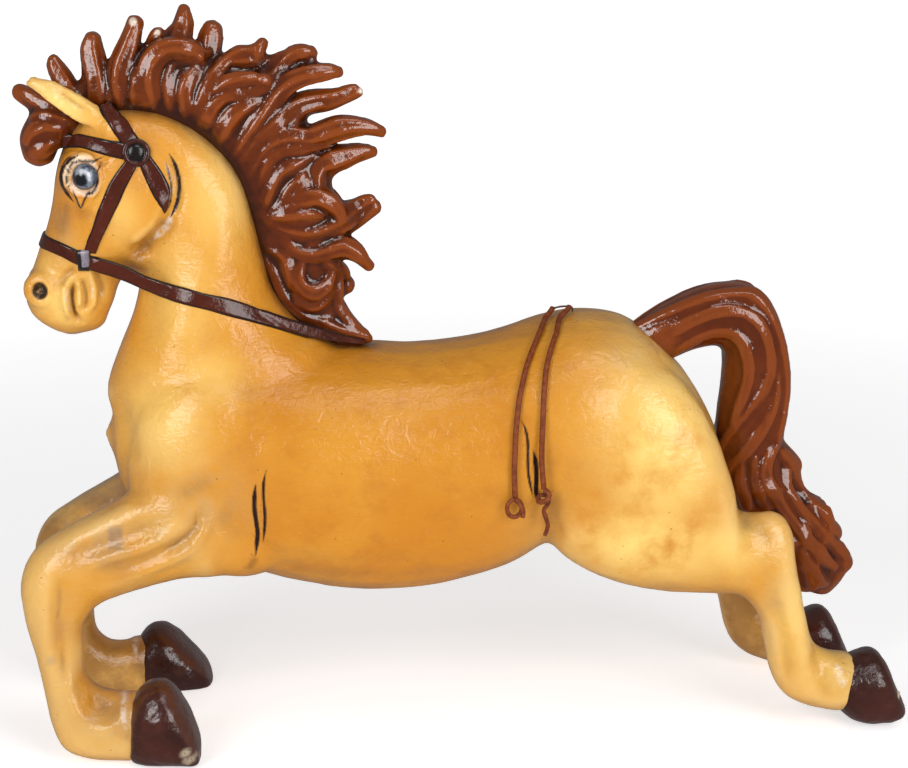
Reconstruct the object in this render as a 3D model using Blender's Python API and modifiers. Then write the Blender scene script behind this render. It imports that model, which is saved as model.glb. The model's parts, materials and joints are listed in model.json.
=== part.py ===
"""Papier-mache horse sculpture, leaping, with a carved flame-like mane, a raised bridle and two leather thongs.

Metres, +Z up. The horse faces -X and its left side, the one with the painted strokes, faces -Y.
The origin is under the middle of the horse, on the surface that its feet rest on.
The figure's pose and carving are shares of its length: tables are in units of 1/108.4 of LENGTH (1 cm at real size).
"""

import math

import bmesh
import bpy
from mathutils import Vector
from mathutils.bvhtree import BVHTree

# Driving dimensions, in metres
LENGTH = 1.084  # from the front of the knees to the toes of the hind hooves
CELL = 0.0062  # cell of the skin that joins the limbs into one cast
SKIN_KEEP = 0.068  # share of the skin's faces that the solid keeps
SKIN_SMOOTH = 8  # smoothing passes on the skin
CLEARANCE = 0.0003  # between pieces that touch

STAPLE_WIRE = 0.0024
STAPLE_SPAN = 0.028  # between the legs of the staple
STAPLE_RISE = 0.0085  # of the staple over the croup
STAPLE_X = 0.120
STAPLE_Y = 0.003
LEG_BEVEL = 0.0002  # what the croup's slope takes under a leg of the staple

THONG = 0.006  # thickness of a leather thong
LOOP_LENGTH = 0.025  # the slip loop that ends the front thong
LOOP_WIDTH = 0.018
LOOP_CORD = 0.005
KNOT_WIDTH = 0.013  # the knot that ends the rear thong
KNOT_LENGTH = 0.016
KNOT_TAIL = 0.042  # what hangs below that knot

UNIT = LENGTH / 108.4
RING = 20  # points round a section
STEPS = 4  # rows between two stations
SQUARE = 2.25  # how full a section is, 2 is an ellipse

# Trunk: x, back, belly, half width
TRUNK = [
    (-42.7, 40.0, 35.0, 2.6),
    (-41.8, 43.5, 31.5, 5.6),
    (-39.5, 47.0, 28.5, 8.4),
    (-36.0, 49.0, 26.0, 10.6),
    (-31.5, 49.5, 23.8, 12.2),
    (-26.5, 49.0, 20.8, 13.2),
    (-21.5, 48.6, 19.1, 13.7),
    (-16.5, 48.4, 17.9, 13.7),
    (-11.5, 48.1, 17.4, 13.5),
    (-6.0, 47.8, 17.5, 13.2),
    (0.0, 48.3, 18.5, 13.0),
    (5.0, 49.4, 20.0, 13.0),
    (10.0, 50.9, 22.9, 13.2),
    (15.0, 51.5, 24.5, 13.3),
    (20.0, 50.6, 25.5, 12.8),
    (24.0, 47.6, 26.5, 11.4),
    (27.8, 43.3, 27.5, 8.8),
    (30.6, 38.4, 28.5, 6.0),
    (31.6, 35.0, 30.0, 3.0),
]

# Sections from edge to edge: x and z of one edge, x and z of the other, half width, y of the middle
NECK = [
    (-40.5, 36.0, -17.0, 40.0, 10.0, 0.0),
    (-43.3, 42.5, -15.5, 47.6, 9.8, 0.0),
    (-41.8, 48.0, -20.0, 51.6, 8.8, 0.0),
    (-39.7, 53.0, -22.8, 55.5, 7.7, 0.0),
    (-38.6, 58.0, -24.2, 60.5, 6.9, 0.0),
    (-38.6, 62.0, -25.2, 65.0, 6.4, 0.0),
    (-39.5, 66.0, -26.6, 69.3, 6.0, 0.0),
    (-40.0, 69.0, -29.2, 72.8, 5.7, 0.0),
    (-41.0, 70.5, -33.0, 75.8, 5.3, 0.0),
    (-43.0, 71.0, -37.4, 77.4, 5.0, 0.0),
    (-44.5, 71.5, -41.4, 77.4, 4.2, 0.0),
]
HEAD = [
    (-43.5, 76.8, -37.0, 75.5, 3.6, 0.0),
    (-45.8, 75.2, -34.0, 73.0, 5.2, 0.0),
    (-47.2, 72.3, -33.2, 69.8, 6.1, 0.0),
    (-48.1, 69.5, -33.4, 66.2, 6.4, 0.0),
    (-48.6, 66.3, -35.0, 63.0, 6.0, 0.0),
    (-49.4, 63.3, -37.6, 60.2, 5.2, 0.0),
    (-50.3, 61.0, -40.0, 58.0, 4.6, 0.0),
    (-51.2, 58.6, -41.3, 56.2, 4.3, 0.0),
    (-52.2, 56.2, -41.8, 54.6, 4.5, 0.0),
    (-52.3, 54.4, -42.3, 53.4, 4.6, 0.0),
    (-51.4, 52.5, -43.2, 52.0, 4.2, 0.0),
    (-49.2, 50.9, -45.0, 50.8, 2.8, 0.0),
]
EAR = [
    (-42.6, 73.2, -40.0, 75.4, 1.2, 3.6),
    (-44.0, 75.4, -42.2, 77.6, 1.3, 4.3),
    (-46.3, 77.2, -44.8, 79.4, 1.2, 4.9),
    (-48.8, 79.0, -47.6, 80.9, 1.0, 5.1),
    (-50.6, 80.2, -49.9, 81.3, 0.6, 5.1),
]
# The far ear stands more upright
FAR_EAR = [
    (-42.6, 73.2, -40.0, 75.4, 1.2, 3.6),
    (-43.2, 76.2, -41.0, 77.2, 1.2, 4.0),
    (-44.0, 78.6, -42.0, 79.2, 1.1, 4.2),
    (-44.6, 80.4, -43.2, 80.8, 0.8, 4.3),
    (-44.8, 81.6, -44.2, 81.8, 0.5, 4.3),
]
HIND_LEG = [
    (8.5, 38.0, 8.5, 28.0, 5.0, 6.0),
    (11.5, 44.0, 10.5, 23.4, 6.4, 6.6),
    (16.0, 47.0, 15.0, 20.2, 7.0, 6.9),
    (21.0, 47.2, 20.0, 18.4, 7.2, 7.0),
    (25.5, 44.5, 24.5, 17.6, 7.0, 7.2),
    (29.0, 39.5, 28.5, 17.4, 6.3, 7.6),
    (31.3, 33.5, 31.0, 17.4, 5.4, 8.1),
    (32.6, 28.3, 33.0, 17.4, 4.4, 8.7),
    (35.0, 27.9, 34.3, 16.4, 3.7, 9.2),
    (37.5, 28.0, 35.4, 14.9, 3.4, 9.5),
    (39.2, 25.9, 36.0, 13.0, 3.3, 9.7),
    (39.9, 21.5, 36.3, 11.5, 3.1, 9.9),
    (41.0, 15.5, 36.8, 9.6, 2.9, 10.0),
    (42.4, 11.4, 37.3, 7.4, 2.9, 9.9),
    (44.0, 9.9, 38.6, 4.8, 3.2, 9.8),
    (45.4, 9.4, 41.0, 3.0, 3.5, 9.7),
    (46.8, 9.2, 44.0, 2.1, 3.6, 9.6),
    (47.8, 9.2, 46.6, 1.7, 3.6, 9.6),
]
HIND_HOOF = [
    (46.4, 9.0, 46.2, 2.0, 3.4, 9.6),
    (47.8, 9.3, 47.0, 0.9, 4.2, 9.6),
    (50.6, 9.8, 49.2, 0.0, 4.7, 9.6),
    (52.2, 7.3, 51.3, -0.15, 4.5, 9.6),
    (53.5, 4.3, 52.9, -0.15, 3.7, 9.6),
    (54.5, 1.8, 54.0, 0.0, 2.2, 9.6),
]
FORE_LEG = [
    (-36.0, 41.0, -24.0, 29.0, 5.4, 6.6),
    (-38.5, 34.5, -29.0, 22.5, 5.4, 7.6),
    (-42.0, 31.6, -34.5, 21.9, 5.0, 7.8),
    (-45.5, 29.9, -39.5, 20.8, 4.5, 8.0),
    (-48.8, 28.2, -43.4, 19.6, 4.2, 8.1),
    (-52.1, 25.9, -45.0, 18.8, 4.1, 8.3),
    (-53.8, 22.2, -45.9, 17.8, 3.9, 8.5),
    (-53.4, 17.2, -46.7, 16.6, 3.5, 8.8),
    (-52.4, 12.8, -46.8, 13.4, 3.1, 9.1),
    (-51.7, 8.8, -46.6, 10.2, 3.1, 9.4),
    (-51.0, 4.8, -45.2, 8.6, 3.6, 9.7),
    (-49.6, 1.4, -43.6, 8.2, 3.8, 10.0),
    (-46.3, 0.1, -42.2, 8.2, 3.8, 10.4),
    (-43.0, 0.0, -40.8, 8.4, 3.6, 11.0),
    (-40.9, 0.0, -39.6, 8.8, 3.6, 11.4),
]
FORE_HOOF = [
    (-41.2, -0.1, -39.6, 8.8, 3.4, 11.7),
    (-40.2, -0.3, -38.8, 9.6, 4.1, 11.8),
    (-38.2, -0.4, -37.6, 9.8, 4.5, 11.9),
    (-36.0, -0.4, -35.4, 6.4, 4.3, 12.0),
    (-34.4, -0.4, -33.9, 3.4, 3.5, 12.0),
    (-33.4, -0.2, -33.1, 1.4, 2.2, 12.0),
]
TAIL = [
    (20.5, 49.0, 23.5, 43.5, 2.6, 0.0),
    (23.0, 51.0, 25.6, 45.2, 3.0, 0.0),
    (26.7, 53.1, 28.4, 46.4, 3.2, 0.0),
    (29.8, 54.3, 30.2, 46.8, 3.4, 0.0),
    (32.6, 54.8, 31.4, 46.8, 3.7, 0.0),
    (35.4, 54.4, 32.2, 46.2, 4.0, 0.0),
    (37.6, 53.0, 32.4, 45.2, 4.2, 0.0),
    (39.3, 49.8, 32.4, 43.6, 4.3, 0.0),
    (40.4, 45.0, 32.3, 41.6, 4.4, 0.0),
    (40.7, 40.6, 32.0, 39.0, 4.4, 0.0),
    (40.4, 36.0, 31.8, 36.2, 4.3, 0.0),
    (40.3, 32.4, 32.2, 32.6, 4.2, 0.0),
    (41.2, 29.4, 32.8, 28.4, 4.2, 0.0),
    (42.9, 26.6, 34.4, 24.4, 4.2, 0.0),
    (45.0, 23.8, 37.0, 20.4, 4.2, 0.0),
    (47.0, 21.0, 40.2, 16.6, 3.8, 0.0),
    (48.6, 18.4, 43.0, 14.2, 3.0, 0.0),
    (49.4, 16.8, 45.8, 14.0, 2.0, 0.0),
]
MANE_ROOT = [
    (-43.4, 75.0, -45.7, 79.7, 2.0, 0.0),
    (-41.4, 74.5, -41.8, 82.0, 2.7, 0.0),
    (-37.9, 74.5, -36.8, 83.2, 3.0, 0.0),
    (-34.6, 73.6, -31.6, 82.8, 3.1, 0.0),
    (-31.4, 71.6, -26.4, 81.6, 3.1, 0.0),
    (-29.0, 68.6, -20.8, 78.6, 3.1, 0.0),
    (-27.6, 65.4, -18.0, 73.8, 3.0, 0.0),
    (-26.6, 61.8, -16.0, 68.8, 2.9, 0.0),
    (-25.6, 58.4, -15.0, 63.4, 2.8, 0.0),
    (-24.6, 54.8, -14.8, 57.8, 2.7, 0.0),
    (-22.8, 51.4, -14.6, 53.2, 2.4, 0.0),
    (-19.5, 48.8, -13.2, 50.2, 2.0, 0.0),
    (-15.0, 47.4, -11.2, 48.6, 1.2, 0.0),
]

# Locks of the mane, forelock and tail: y, then x, z and half width of each point from root to tip
LOCKS = {
    "poll_1": (0.5, [(-45.2, 77.4, 1.6), (-46.4, 79.5, 1.2), (-47.5, 81.1, 0.9), (-48.0, 82.7, 0.7)]),
    "poll_2": (-0.5, [(-42.5, 77.7, 1.8), (-42.9, 80.7, 1.7), (-43.3, 83.2, 1.2), (-43.0, 85.6, 1.0)]),
    "poll_3": (-1.0, [(-40.0, 78.0, 1.8), (-40.3, 81.0, 1.7), (-39.2, 83.9, 1.3), (-37.9, 87.3, 1.1)]),
    "arch": (
        -2.0,
        [(-37.0, 77.6, 1.6), (-37.1, 80.6, 1.5), (-35.6, 83.1, 1.2), (-32.9, 83.7, 1.0), (-30.4, 82.8, 0.7)],
    ),
    "spike_1": (1.5, [(-35.6, 80.6, 1.7), (-34.6, 83.2, 1.5), (-33.4, 85.5, 1.1), (-32.4, 88.5, 0.9)]),
    "spike_2": (2.0, [(-30.4, 80.1, 1.7), (-29.8, 83.1, 1.5), (-29.3, 86.4, 1.3)]),
    "wave_1": (
        0.0,
        [(-32.7, 77.1, 1.7), (-31.2, 79.6, 1.6), (-28.1, 81.9, 1.3), (-25.1, 82.6, 1.1), (-23.3, 84.7, 0.8)],
    ),
    "wave_2": (-2.0, [(-30.4, 75.7, 1.5), (-29.6, 77.7, 1.3), (-26.3, 79.8, 1.1), (-22.9, 80.2, 0.9)]),
    "flame_1": (0.5, [(-27.8, 77.7, 1.7), (-24.2, 80.4, 1.5), (-20.9, 82.5, 1.1), (-17.5, 83.1, 1.0)]),
    "flame_2": (
        -0.5,
        [(-27.5, 72.9, 1.5), (-24.1, 76.3, 1.5), (-21.3, 79.3, 1.3), (-18.2, 80.8, 1.1), (-14.4, 80.9, 0.8)],
    ),
    "flame_3": (
        0.5,
        [(-26.4, 70.6, 1.5), (-23.2, 74.1, 1.5), (-19.7, 76.6, 1.3), (-15.9, 77.2, 1.0), (-12.0, 78.6, 0.7)],
    ),
    "flame_4": (
        -1.0,
        [(-25.5, 68.7, 1.2), (-23.6, 71.0, 1.3), (-20.0, 72.4, 1.3), (-16.2, 73.7, 1.3), (-12.7, 74.4, 1.0),
         (-9.5, 73.9, 0.8)],
    ),
    "flame_5": (
        0.0,
        [(-24.2, 65.3, 1.7), (-20.3, 67.5, 1.7), (-17.4, 69.3, 1.6), (-14.1, 70.6, 1.1), (-10.5, 71.6, 0.8)],
    ),
    "curl_1": (
        -1.5,
        [(-24.2, 64.3, 1.2), (-21.6, 66.1, 1.1), (-18.5, 66.5, 1.4), (-15.7, 65.3, 1.1), (-14.4, 63.3, 0.9)],
    ),
    "flame_6": (
        1.0,
        [(-23.5, 62.1, 1.5), (-19.7, 61.3, 1.7), (-16.1, 61.9, 1.7), (-13.0, 63.3, 1.3), (-10.2, 65.0, 1.0)],
    ),
    "flame_7": (
        -1.0,
        [(-24.2, 62.9, 1.0), (-21.9, 61.0, 1.1), (-18.4, 59.7, 1.2), (-14.8, 59.9, 1.2), (-12.9, 59.1, 1.0),
         (-11.2, 57.5, 0.8)],
    ),
    "stub": (1.0, [(-23.1, 59.0, 1.7), (-20.0, 56.4, 2.0), (-16.9, 55.1, 1.7), (-13.5, 55.3, 1.1)]),
    "end": (
        -0.5,
        [(-23.4, 58.5, 1.1), (-21.8, 54.8, 1.2), (-19.2, 52.0, 1.2), (-15.9, 50.6, 1.3), (-13.2, 49.4, 1.0),
         (-11.2, 48.6, 0.6)],
    ),
    "forelock_up": (-0.5, [(-44.5, 77.0, 1.6), (-47.5, 77.2, 1.9), (-50.2, 78.2, 1.4), (-52.2, 79.3, 1.0)]),
    "forelock_down": (-0.5, [(-45.5, 76.0, 2.2), (-48.4, 75.2, 2.6), (-49.7, 73.2, 2.4), (-49.9, 70.9, 1.7)]),
    "tail_bump": (-0.5, [(38.0, 34.0, 2.0), (41.0, 31.4, 1.7), (42.4, 30.6, 1.0)]),
    "tail_tip_1": (-0.5, [(43.0, 26.0, 2.2), (46.0, 22.6, 2.0), (47.8, 21.6, 1.0)]),
    "tail_tip_2": (-0.3, [(44.0, 21.0, 2.4), (47.0, 18.6, 1.9), (49.6, 17.4, 0.9)]),
    "tail_tip_3": (0.0, [(42.0, 19.5, 2.6), (44.6, 16.4, 2.2), (47.2, 14.8, 1.3)]),
}
LOCK_FLAT = 1.15  # how much thicker a lock is across the horse than in outline

# Rounded masses: centre x, y, z, then half sizes in x, y, z; those with y above 0 stand on both sides
MASSES = [
    (-31.0, 6.4, 36.0, 10.0, 6.6, 12.0),
    (-49.9, 2.7, 56.2, 2.5, 2.2, 2.4),
    (-45.2, 0.0, 52.6, 2.5, 3.4, 2.2),
    (-45.0, 4.4, 69.8, 2.4, 1.9, 2.2),
    (-38.6, 3.6, 66.5, 5.0, 2.9, 5.4),
    (-40.8, 4.9, 75.0, 1.8, 1.5, 1.8),
    (-27.5, 7.2, 25.6, 6.5, 4.6, 4.0),
    (-38.7, 0.0, 60.0, 2.7, 5.0, 2.3),
]
# Hollows of the nostrils and mouth corners: centre x, y, z, then half sizes; on both sides
HOLLOWS = [
    (-50.35, 4.9, 56.35, 0.85, 0.9, 1.0),
    (-46.75, 4.75, 55.2, 0.5, 0.9, 2.0),
]
# How far the far legs stand from a mirror image of the near ones: x, y, z, reached at the given row
FAR_FORE = (-0.2, 0.0, -1.6, 4)
FAR_HIND = (-1.1, -0.4, -1.5, 10)
# The rein stands free of the throat on each side, from the bit to the neck
REIN = [
    (-45.2, 61.0, -44.8, 59.0, 0.9, 4.3),
    (-41.3, 59.6, -41.0, 57.7, 0.7, 4.9),
    (-38.0, 58.3, -37.7, 56.4, 0.9, 5.6),
    (-34.5, 57.0, -34.2, 55.2, 0.9, 6.0),
]

# Routes of the thongs, in metres, from the staple down the flank, chosen by hand
THONG_FRONT = [
    (0.1085, -0.0030, 0.5205),
    (0.1040, -0.0105, 0.5170),
    (0.0970, -0.0195, 0.5120),
    (0.0860, -0.0500, 0.5020),
    (0.0740, -0.0740, 0.4860),
    (0.0640, -0.0925, 0.4690),
    (0.0580, -0.1050, 0.4530),
    (0.0530, -0.1145, 0.4365),
    (0.0475, -0.1280, 0.4020),
    (0.0460, -0.1325, 0.3790),
    (0.0450, -0.1350, 0.3540),
    (0.0460, -0.1355, 0.3225),
]
THONG_REAR = [
    (0.1290, -0.0030, 0.5220),
    (0.1250, -0.0105, 0.5190),
    (0.1135, -0.0270, 0.5135),
    (0.1055, -0.0575, 0.5040),
    (0.0945, -0.0830, 0.4880),
    (0.0870, -0.1000, 0.4700),
    (0.0835, -0.1120, 0.4545),
    (0.0810, -0.1200, 0.4380),
    (0.0790, -0.1295, 0.4110),
    (0.0775, -0.1345, 0.3900),
    (0.0770, -0.1375, 0.3650),
    (0.0800, -0.1375, 0.3320),
]


def clear_scene():
    for item in list(bpy.data.objects):
        bpy.data.objects.remove(item, do_unlink=True)


def make_material(name, colour, roughness, metallic=0.0):
    material = bpy.data.materials.new(name)
    material.use_nodes = True
    shader = material.node_tree.nodes["Principled BSDF"]
    shader.inputs["Base Color"].default_value = (*colour, 1.0)
    shader.inputs["Roughness"].default_value = roughness
    shader.inputs["Metallic"].default_value = metallic
    return material


def between(rows, steps):
    """Rows with further rows on a smooth curve through them."""
    result = []
    for i in range(len(rows) - 1):
        before = rows[max(i - 1, 0)]
        start, end = rows[i], rows[i + 1]
        after = rows[min(i + 2, len(rows) - 1)]
        for step in range(steps):
            t = step / steps
            result.append(
                tuple(
                    0.5
                    * (
                        2 * b
                        + (c - a) * t
                        + (2 * a - 5 * b + 4 * c - d) * t * t
                        + (3 * b - a - 3 * c + d) * t**3
                    )
                    for a, b, c, d in zip(before, start, end, after)
                )
            )
    result.append(rows[-1])
    return result


def full(value, square):
    """A cosine or sine, made fuller."""
    return math.copysign(abs(value) ** (2.0 / square), value)


def add_loft(mesh, rows, side=1, square=SQUARE, ring=RING, steps=STEPS, cap=0.5):
    """A closed skin through sections, each from edge to edge of its row, with pointed ends of the cap's share."""
    rings = []
    centres = []
    for ax, az, bx, bz, half, y in between(rows, steps):
        first = Vector((ax, side * y, az)) * UNIT
        last = Vector((bx, side * y, bz)) * UNIT
        centre = (first + last) / 2
        reach = (first - last) / 2
        across = Vector((0, side * half * UNIT, 0))
        centres.append(centre)
        verts = []
        for i in range(ring):
            turn = 2 * math.pi * i / ring
            place = centre + reach * full(math.cos(turn), square) + across * full(math.sin(turn), square)
            verts.append(mesh.verts.new(place))
        rings.append(verts)
    for one, two in zip(rings, rings[1:]):
        for i in range(ring):
            j = (i + 1) % ring
            mesh.faces.new((one[i], one[j], two[j], two[i]))
    for verts, centre, inner in ((rings[0], centres[0], centres[1]), (rings[-1], centres[-1], centres[-2])):
        small = min((vert.co - centre).length for vert in verts)
        point = mesh.verts.new(centre + (centre - inner).normalized() * small * cap)
        for i in range(ring):
            mesh.faces.new((verts[i], verts[(i + 1) % ring], point))


def trunk_rows():
    return [(x, back, x, belly, half, 0.0) for x, back, belly, half in TRUNK]


def moved(rows, shift, whole=False):
    """The rows of a far leg, moved more and more down to the given row, or all moved as one."""
    dx, dy, dz, reached = shift
    result = []
    for i, (ax, az, bx, bz, half, y) in enumerate(rows):
        share = 1.0 if whole else min(1.0, i / reached)
        share *= share * (3 - 2 * share)
        result.append((ax + dx * share, az + dz * share, bx + dx * share, bz + dz * share, half, y + dy * share))
    return result


def lock_rows(y, points):
    """Sections square to a lock's line."""
    rows = []
    last = len(points) - 1
    for i, (x, z, half) in enumerate(points):
        x0, z0, _ = points[max(i - 1, 0)]
        x1, z1, _ = points[min(i + 1, last)]
        reach = math.hypot(x1 - x0, z1 - z0)
        nx, nz = -(z1 - z0) / reach * half, (x1 - x0) / reach * half
        rows.append((x + nx, z + nz, x - nx, z - nz, half * LOCK_FLAT, y))
    return rows


def add_mass(mesh, centre, half, side, round_segments=20, high_segments=12):
    ball = bmesh.ops.create_uvsphere(
        mesh, u_segments=round_segments, v_segments=high_segments, radius=UNIT
    )
    for vert in ball["verts"]:
        vert.co.x = vert.co.x * half[0] + centre[0] * UNIT
        vert.co.y = vert.co.y * half[1] + centre[1] * side * UNIT
        vert.co.z = vert.co.z * half[2] + centre[2] * UNIT


def horse_form():
    """Limbs, head, mane and tail as overlapping closed skins."""
    mesh = bmesh.new()
    add_loft(mesh, trunk_rows())
    add_loft(mesh, NECK)
    add_loft(mesh, HEAD)
    add_loft(mesh, TAIL)
    add_loft(mesh, MANE_ROOT)
    for y, points in LOCKS.values():
        add_loft(mesh, lock_rows(y, points), square=2.0)
    for rows in (EAR, HIND_LEG, HIND_HOOF, FORE_LEG, FORE_HOOF, REIN):
        add_loft(mesh, rows, -1)
    far_rows = (
        FAR_EAR,
        moved(HIND_LEG, FAR_HIND),
        moved(HIND_HOOF, FAR_HIND, whole=True),
        moved(FORE_LEG, FAR_FORE),
        moved(FORE_HOOF, FAR_FORE, whole=True),
        REIN,
    )
    for rows in far_rows:
        add_loft(mesh, rows, 1)
    for x, y, z, *half in MASSES:
        for side in (-1, 1) if y else (1,):
            add_mass(mesh, (x, y, z), half, side)
    bmesh.ops.recalc_face_normals(mesh, faces=mesh.faces)
    data = bpy.data.meshes.new("horse")
    mesh.to_mesh(data)
    mesh.free()
    return data


def floor_cutter(collection):
    """What lies below the surface that the feet rest on."""
    bpy.ops.mesh.primitive_cube_add(size=1.0, location=(0, 0, -0.05))
    cutter = bpy.context.object
    cutter.name = "floor_cutter"
    cutter.scale = (1.5 * LENGTH, LENGTH, 0.1)
    bpy.ops.object.transform_apply(location=False, rotation=False, scale=True)
    cutter.display_type = "WIRE"
    cutter.hide_render = True
    move_to(cutter, collection)
    return cutter


def hollow_cutter(collection):
    """What the nostrils and mouth corners take out of the head."""
    mesh = bmesh.new()
    for x, y, z, *half in HOLLOWS:
        for side in (-1, 1):
            add_mass(mesh, (x, y, z), half, side, 12, 8)
    data = bpy.data.meshes.new("hollow_cutter")
    mesh.to_mesh(data)
    mesh.free()
    cutter = bpy.data.objects.new("hollow_cutter", data)
    collection.objects.link(cutter)
    cutter.display_type = "WIRE"
    cutter.hide_render = True
    return cutter


def move_to(item, collection):
    for other in list(item.users_collection):
        other.objects.unlink(item)
    collection.objects.link(item)


def make_horse(collection, floor, hollows):
    horse = bpy.data.objects.new("horse", horse_form())
    collection.objects.link(horse)
    skin = horse.modifiers.new("one_cast", "REMESH")
    skin.mode = "VOXEL"
    skin.voxel_size = CELL
    smooth = horse.modifiers.new("worn_smooth", "SMOOTH")
    smooth.factor = 0.5
    smooth.iterations = SKIN_SMOOTH
    fewer = horse.modifiers.new("fewer_faces", "DECIMATE")
    fewer.ratio = SKIN_KEEP
    for name, cutter in (("flat_feet", floor), ("hollows", hollows)):
        cut = horse.modifiers.new(name, "BOOLEAN")
        cut.object = cutter
        cut.operation = "DIFFERENCE"
        cut.solver = "EXACT"
    horse.data.materials.append(make_material("ochre_lacquer", (0.78, 0.44, 0.12), 0.25))
    return horse


def surface_under(item, x, y):
    """Height of a piece's top at a place."""
    depsgraph = bpy.context.evaluated_depsgraph_get()
    tree = BVHTree.FromObject(item, depsgraph)
    point, _, _, _ = tree.ray_cast(Vector((x, y, LENGTH)), Vector((0, 0, -1)))
    return point.z


def make_cord(name, points, thickness, material, collection):
    """A round cord or wire along points."""
    data = bpy.data.curves.new(name, "CURVE")
    data.dimensions = "3D"
    data.bevel_depth = thickness / 2
    data.bevel_resolution = 2
    data.use_fill_caps = True
    line = data.splines.new("POLY")
    line.points.add(len(points) - 1)
    for point, place in zip(line.points, points):
        point.co = (*place, 1.0)
    data.materials.append(material)
    item = bpy.data.objects.new(name, data)
    collection.objects.link(item)
    return item


def make_staple(horse, collection):
    """A bent wire whose legs stand on the croup."""
    half = STAPLE_SPAN / 2
    iron = make_material("rusty_iron", (0.10, 0.08, 0.07), 0.55, 0.8)
    feet = [
        surface_under(horse, STAPLE_X + end * half, STAPLE_Y) + CLEARANCE + LEG_BEVEL for end in (-1, 1)
    ]
    points = [(STAPLE_X - half, STAPLE_Y, feet[0])]
    for i in range(9):
        turn = math.pi * i / 8
        x = STAPLE_X - half * math.cos(turn)
        base = feet[0] + (feet[1] - feet[0]) * i / 8
        points.append((x, STAPLE_Y, base + STAPLE_RISE * (0.45 + 0.55 * math.sin(turn))))
    points.append((STAPLE_X + half, STAPLE_Y, feet[1]))
    return make_cord("back_staple", points, STAPLE_WIRE, iron, collection)


def make_loop(end, material, collection):
    """The slip loop below the front thong."""
    centre = Vector(end) - Vector((0, 0, CLEARANCE + LOOP_LENGTH / 2))
    bpy.ops.mesh.primitive_torus_add(
        major_radius=(LOOP_WIDTH - LOOP_CORD) / 2,
        minor_radius=LOOP_CORD / 2,
        major_segments=20,
        minor_segments=8,
        location=centre,
        rotation=(math.pi / 2, 0, 0),
    )
    loop = bpy.context.object
    loop.name = "front_thong_loop"
    bpy.ops.object.transform_apply(location=False, rotation=True, scale=False)
    loop.scale = (1, 1, LOOP_LENGTH / LOOP_WIDTH)
    bpy.ops.object.transform_apply(location=False, rotation=False, scale=True)
    loop.data.materials.append(material)
    move_to(loop, collection)
    return loop


def make_knot(end, material, collection):
    """The knot below the rear thong, with its loose tail."""
    x, y, top = end[0], end[1], end[2] - CLEARANCE
    thin = THONG * 0.42
    profile = [
        (0.0, THONG * 0.4),
        (KNOT_LENGTH * 0.25, KNOT_WIDTH * 0.45),
        (KNOT_LENGTH * 0.5, KNOT_WIDTH * 0.5),
        (KNOT_LENGTH * 0.8, KNOT_WIDTH * 0.36),
        (KNOT_LENGTH, thin),
        (KNOT_LENGTH + KNOT_TAIL * 0.5, thin),
        (KNOT_LENGTH + KNOT_TAIL, thin * 0.8),
    ]
    mesh = bmesh.new()
    rows = [
        ((x - half) / UNIT, (top - down) / UNIT, (x + half) / UNIT, (top - down) / UNIT, half / UNIT, y / UNIT)
        for down, half in profile
    ]
    add_loft(mesh, rows, square=2.0, ring=10, steps=2, cap=0.0)
    bmesh.ops.recalc_face_normals(mesh, faces=mesh.faces)
    data = bpy.data.meshes.new("rear_thong_knot")
    mesh.to_mesh(data)
    mesh.free()
    data.materials.append(material)
    knot = bpy.data.objects.new("rear_thong_knot", data)
    collection.objects.link(knot)
    return knot


def main():
    clear_scene()
    parts = bpy.data.collections.new("papier_mache_horse")
    cutters = bpy.data.collections.new("cutters")
    bpy.context.scene.collection.children.link(parts)
    bpy.context.scene.collection.children.link(cutters)
    horse = make_horse(parts, floor_cutter(cutters), hollow_cutter(cutters))
    bpy.context.view_layer.update()
    make_staple(horse, parts)
    leather = make_material("brown_leather", (0.16, 0.05, 0.03), 0.5)
    make_cord("front_thong", between(THONG_FRONT, 2), THONG, leather, parts)
    make_cord("rear_thong", between(THONG_REAR, 2), THONG, leather, parts)
    make_loop(THONG_FRONT[-1], leather, parts)
    make_knot(THONG_REAR[-1], leather, parts)


main()
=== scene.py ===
"""The looks of a papier-mache horse sculpture: painted and lacquered cast, carved mane, bridle, eyes and thongs.

Metres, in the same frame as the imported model: the horse faces -X, its near side faces -Y, +Z is up.
Tables are in hundredths of a metre, as in the part's own source.
"""

import json
import math

import bmesh
import bpy
import numpy as np
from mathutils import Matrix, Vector, noise
from mathutils.bvhtree import BVHTree

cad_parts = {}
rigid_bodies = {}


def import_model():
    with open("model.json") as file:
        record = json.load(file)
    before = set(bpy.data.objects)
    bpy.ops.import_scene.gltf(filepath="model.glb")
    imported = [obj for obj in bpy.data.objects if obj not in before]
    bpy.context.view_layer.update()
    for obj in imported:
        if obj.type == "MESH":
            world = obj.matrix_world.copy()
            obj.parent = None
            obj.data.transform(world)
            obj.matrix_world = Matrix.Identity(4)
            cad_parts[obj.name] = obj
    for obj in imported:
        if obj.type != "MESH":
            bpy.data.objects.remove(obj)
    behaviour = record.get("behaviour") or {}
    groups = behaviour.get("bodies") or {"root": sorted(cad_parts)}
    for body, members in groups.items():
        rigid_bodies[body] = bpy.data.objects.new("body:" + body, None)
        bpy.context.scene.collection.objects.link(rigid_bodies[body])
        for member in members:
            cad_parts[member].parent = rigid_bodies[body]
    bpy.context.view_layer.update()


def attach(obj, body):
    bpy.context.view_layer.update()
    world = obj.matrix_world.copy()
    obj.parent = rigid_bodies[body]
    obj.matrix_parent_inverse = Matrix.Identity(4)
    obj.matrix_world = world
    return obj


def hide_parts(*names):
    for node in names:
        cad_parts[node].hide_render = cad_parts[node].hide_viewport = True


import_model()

UNIT = 0.01  # of the tables, in metres
FAR_AWAY = 1e9

# Sizes of the cells that the cast, the hair and the hooves are skinned with, in metres
BODY_CELL = 0.0056
MANE_CELL = 0.0021
TAIL_CELL = 0.0021
HOOF_CELL = 0.0022

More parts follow.
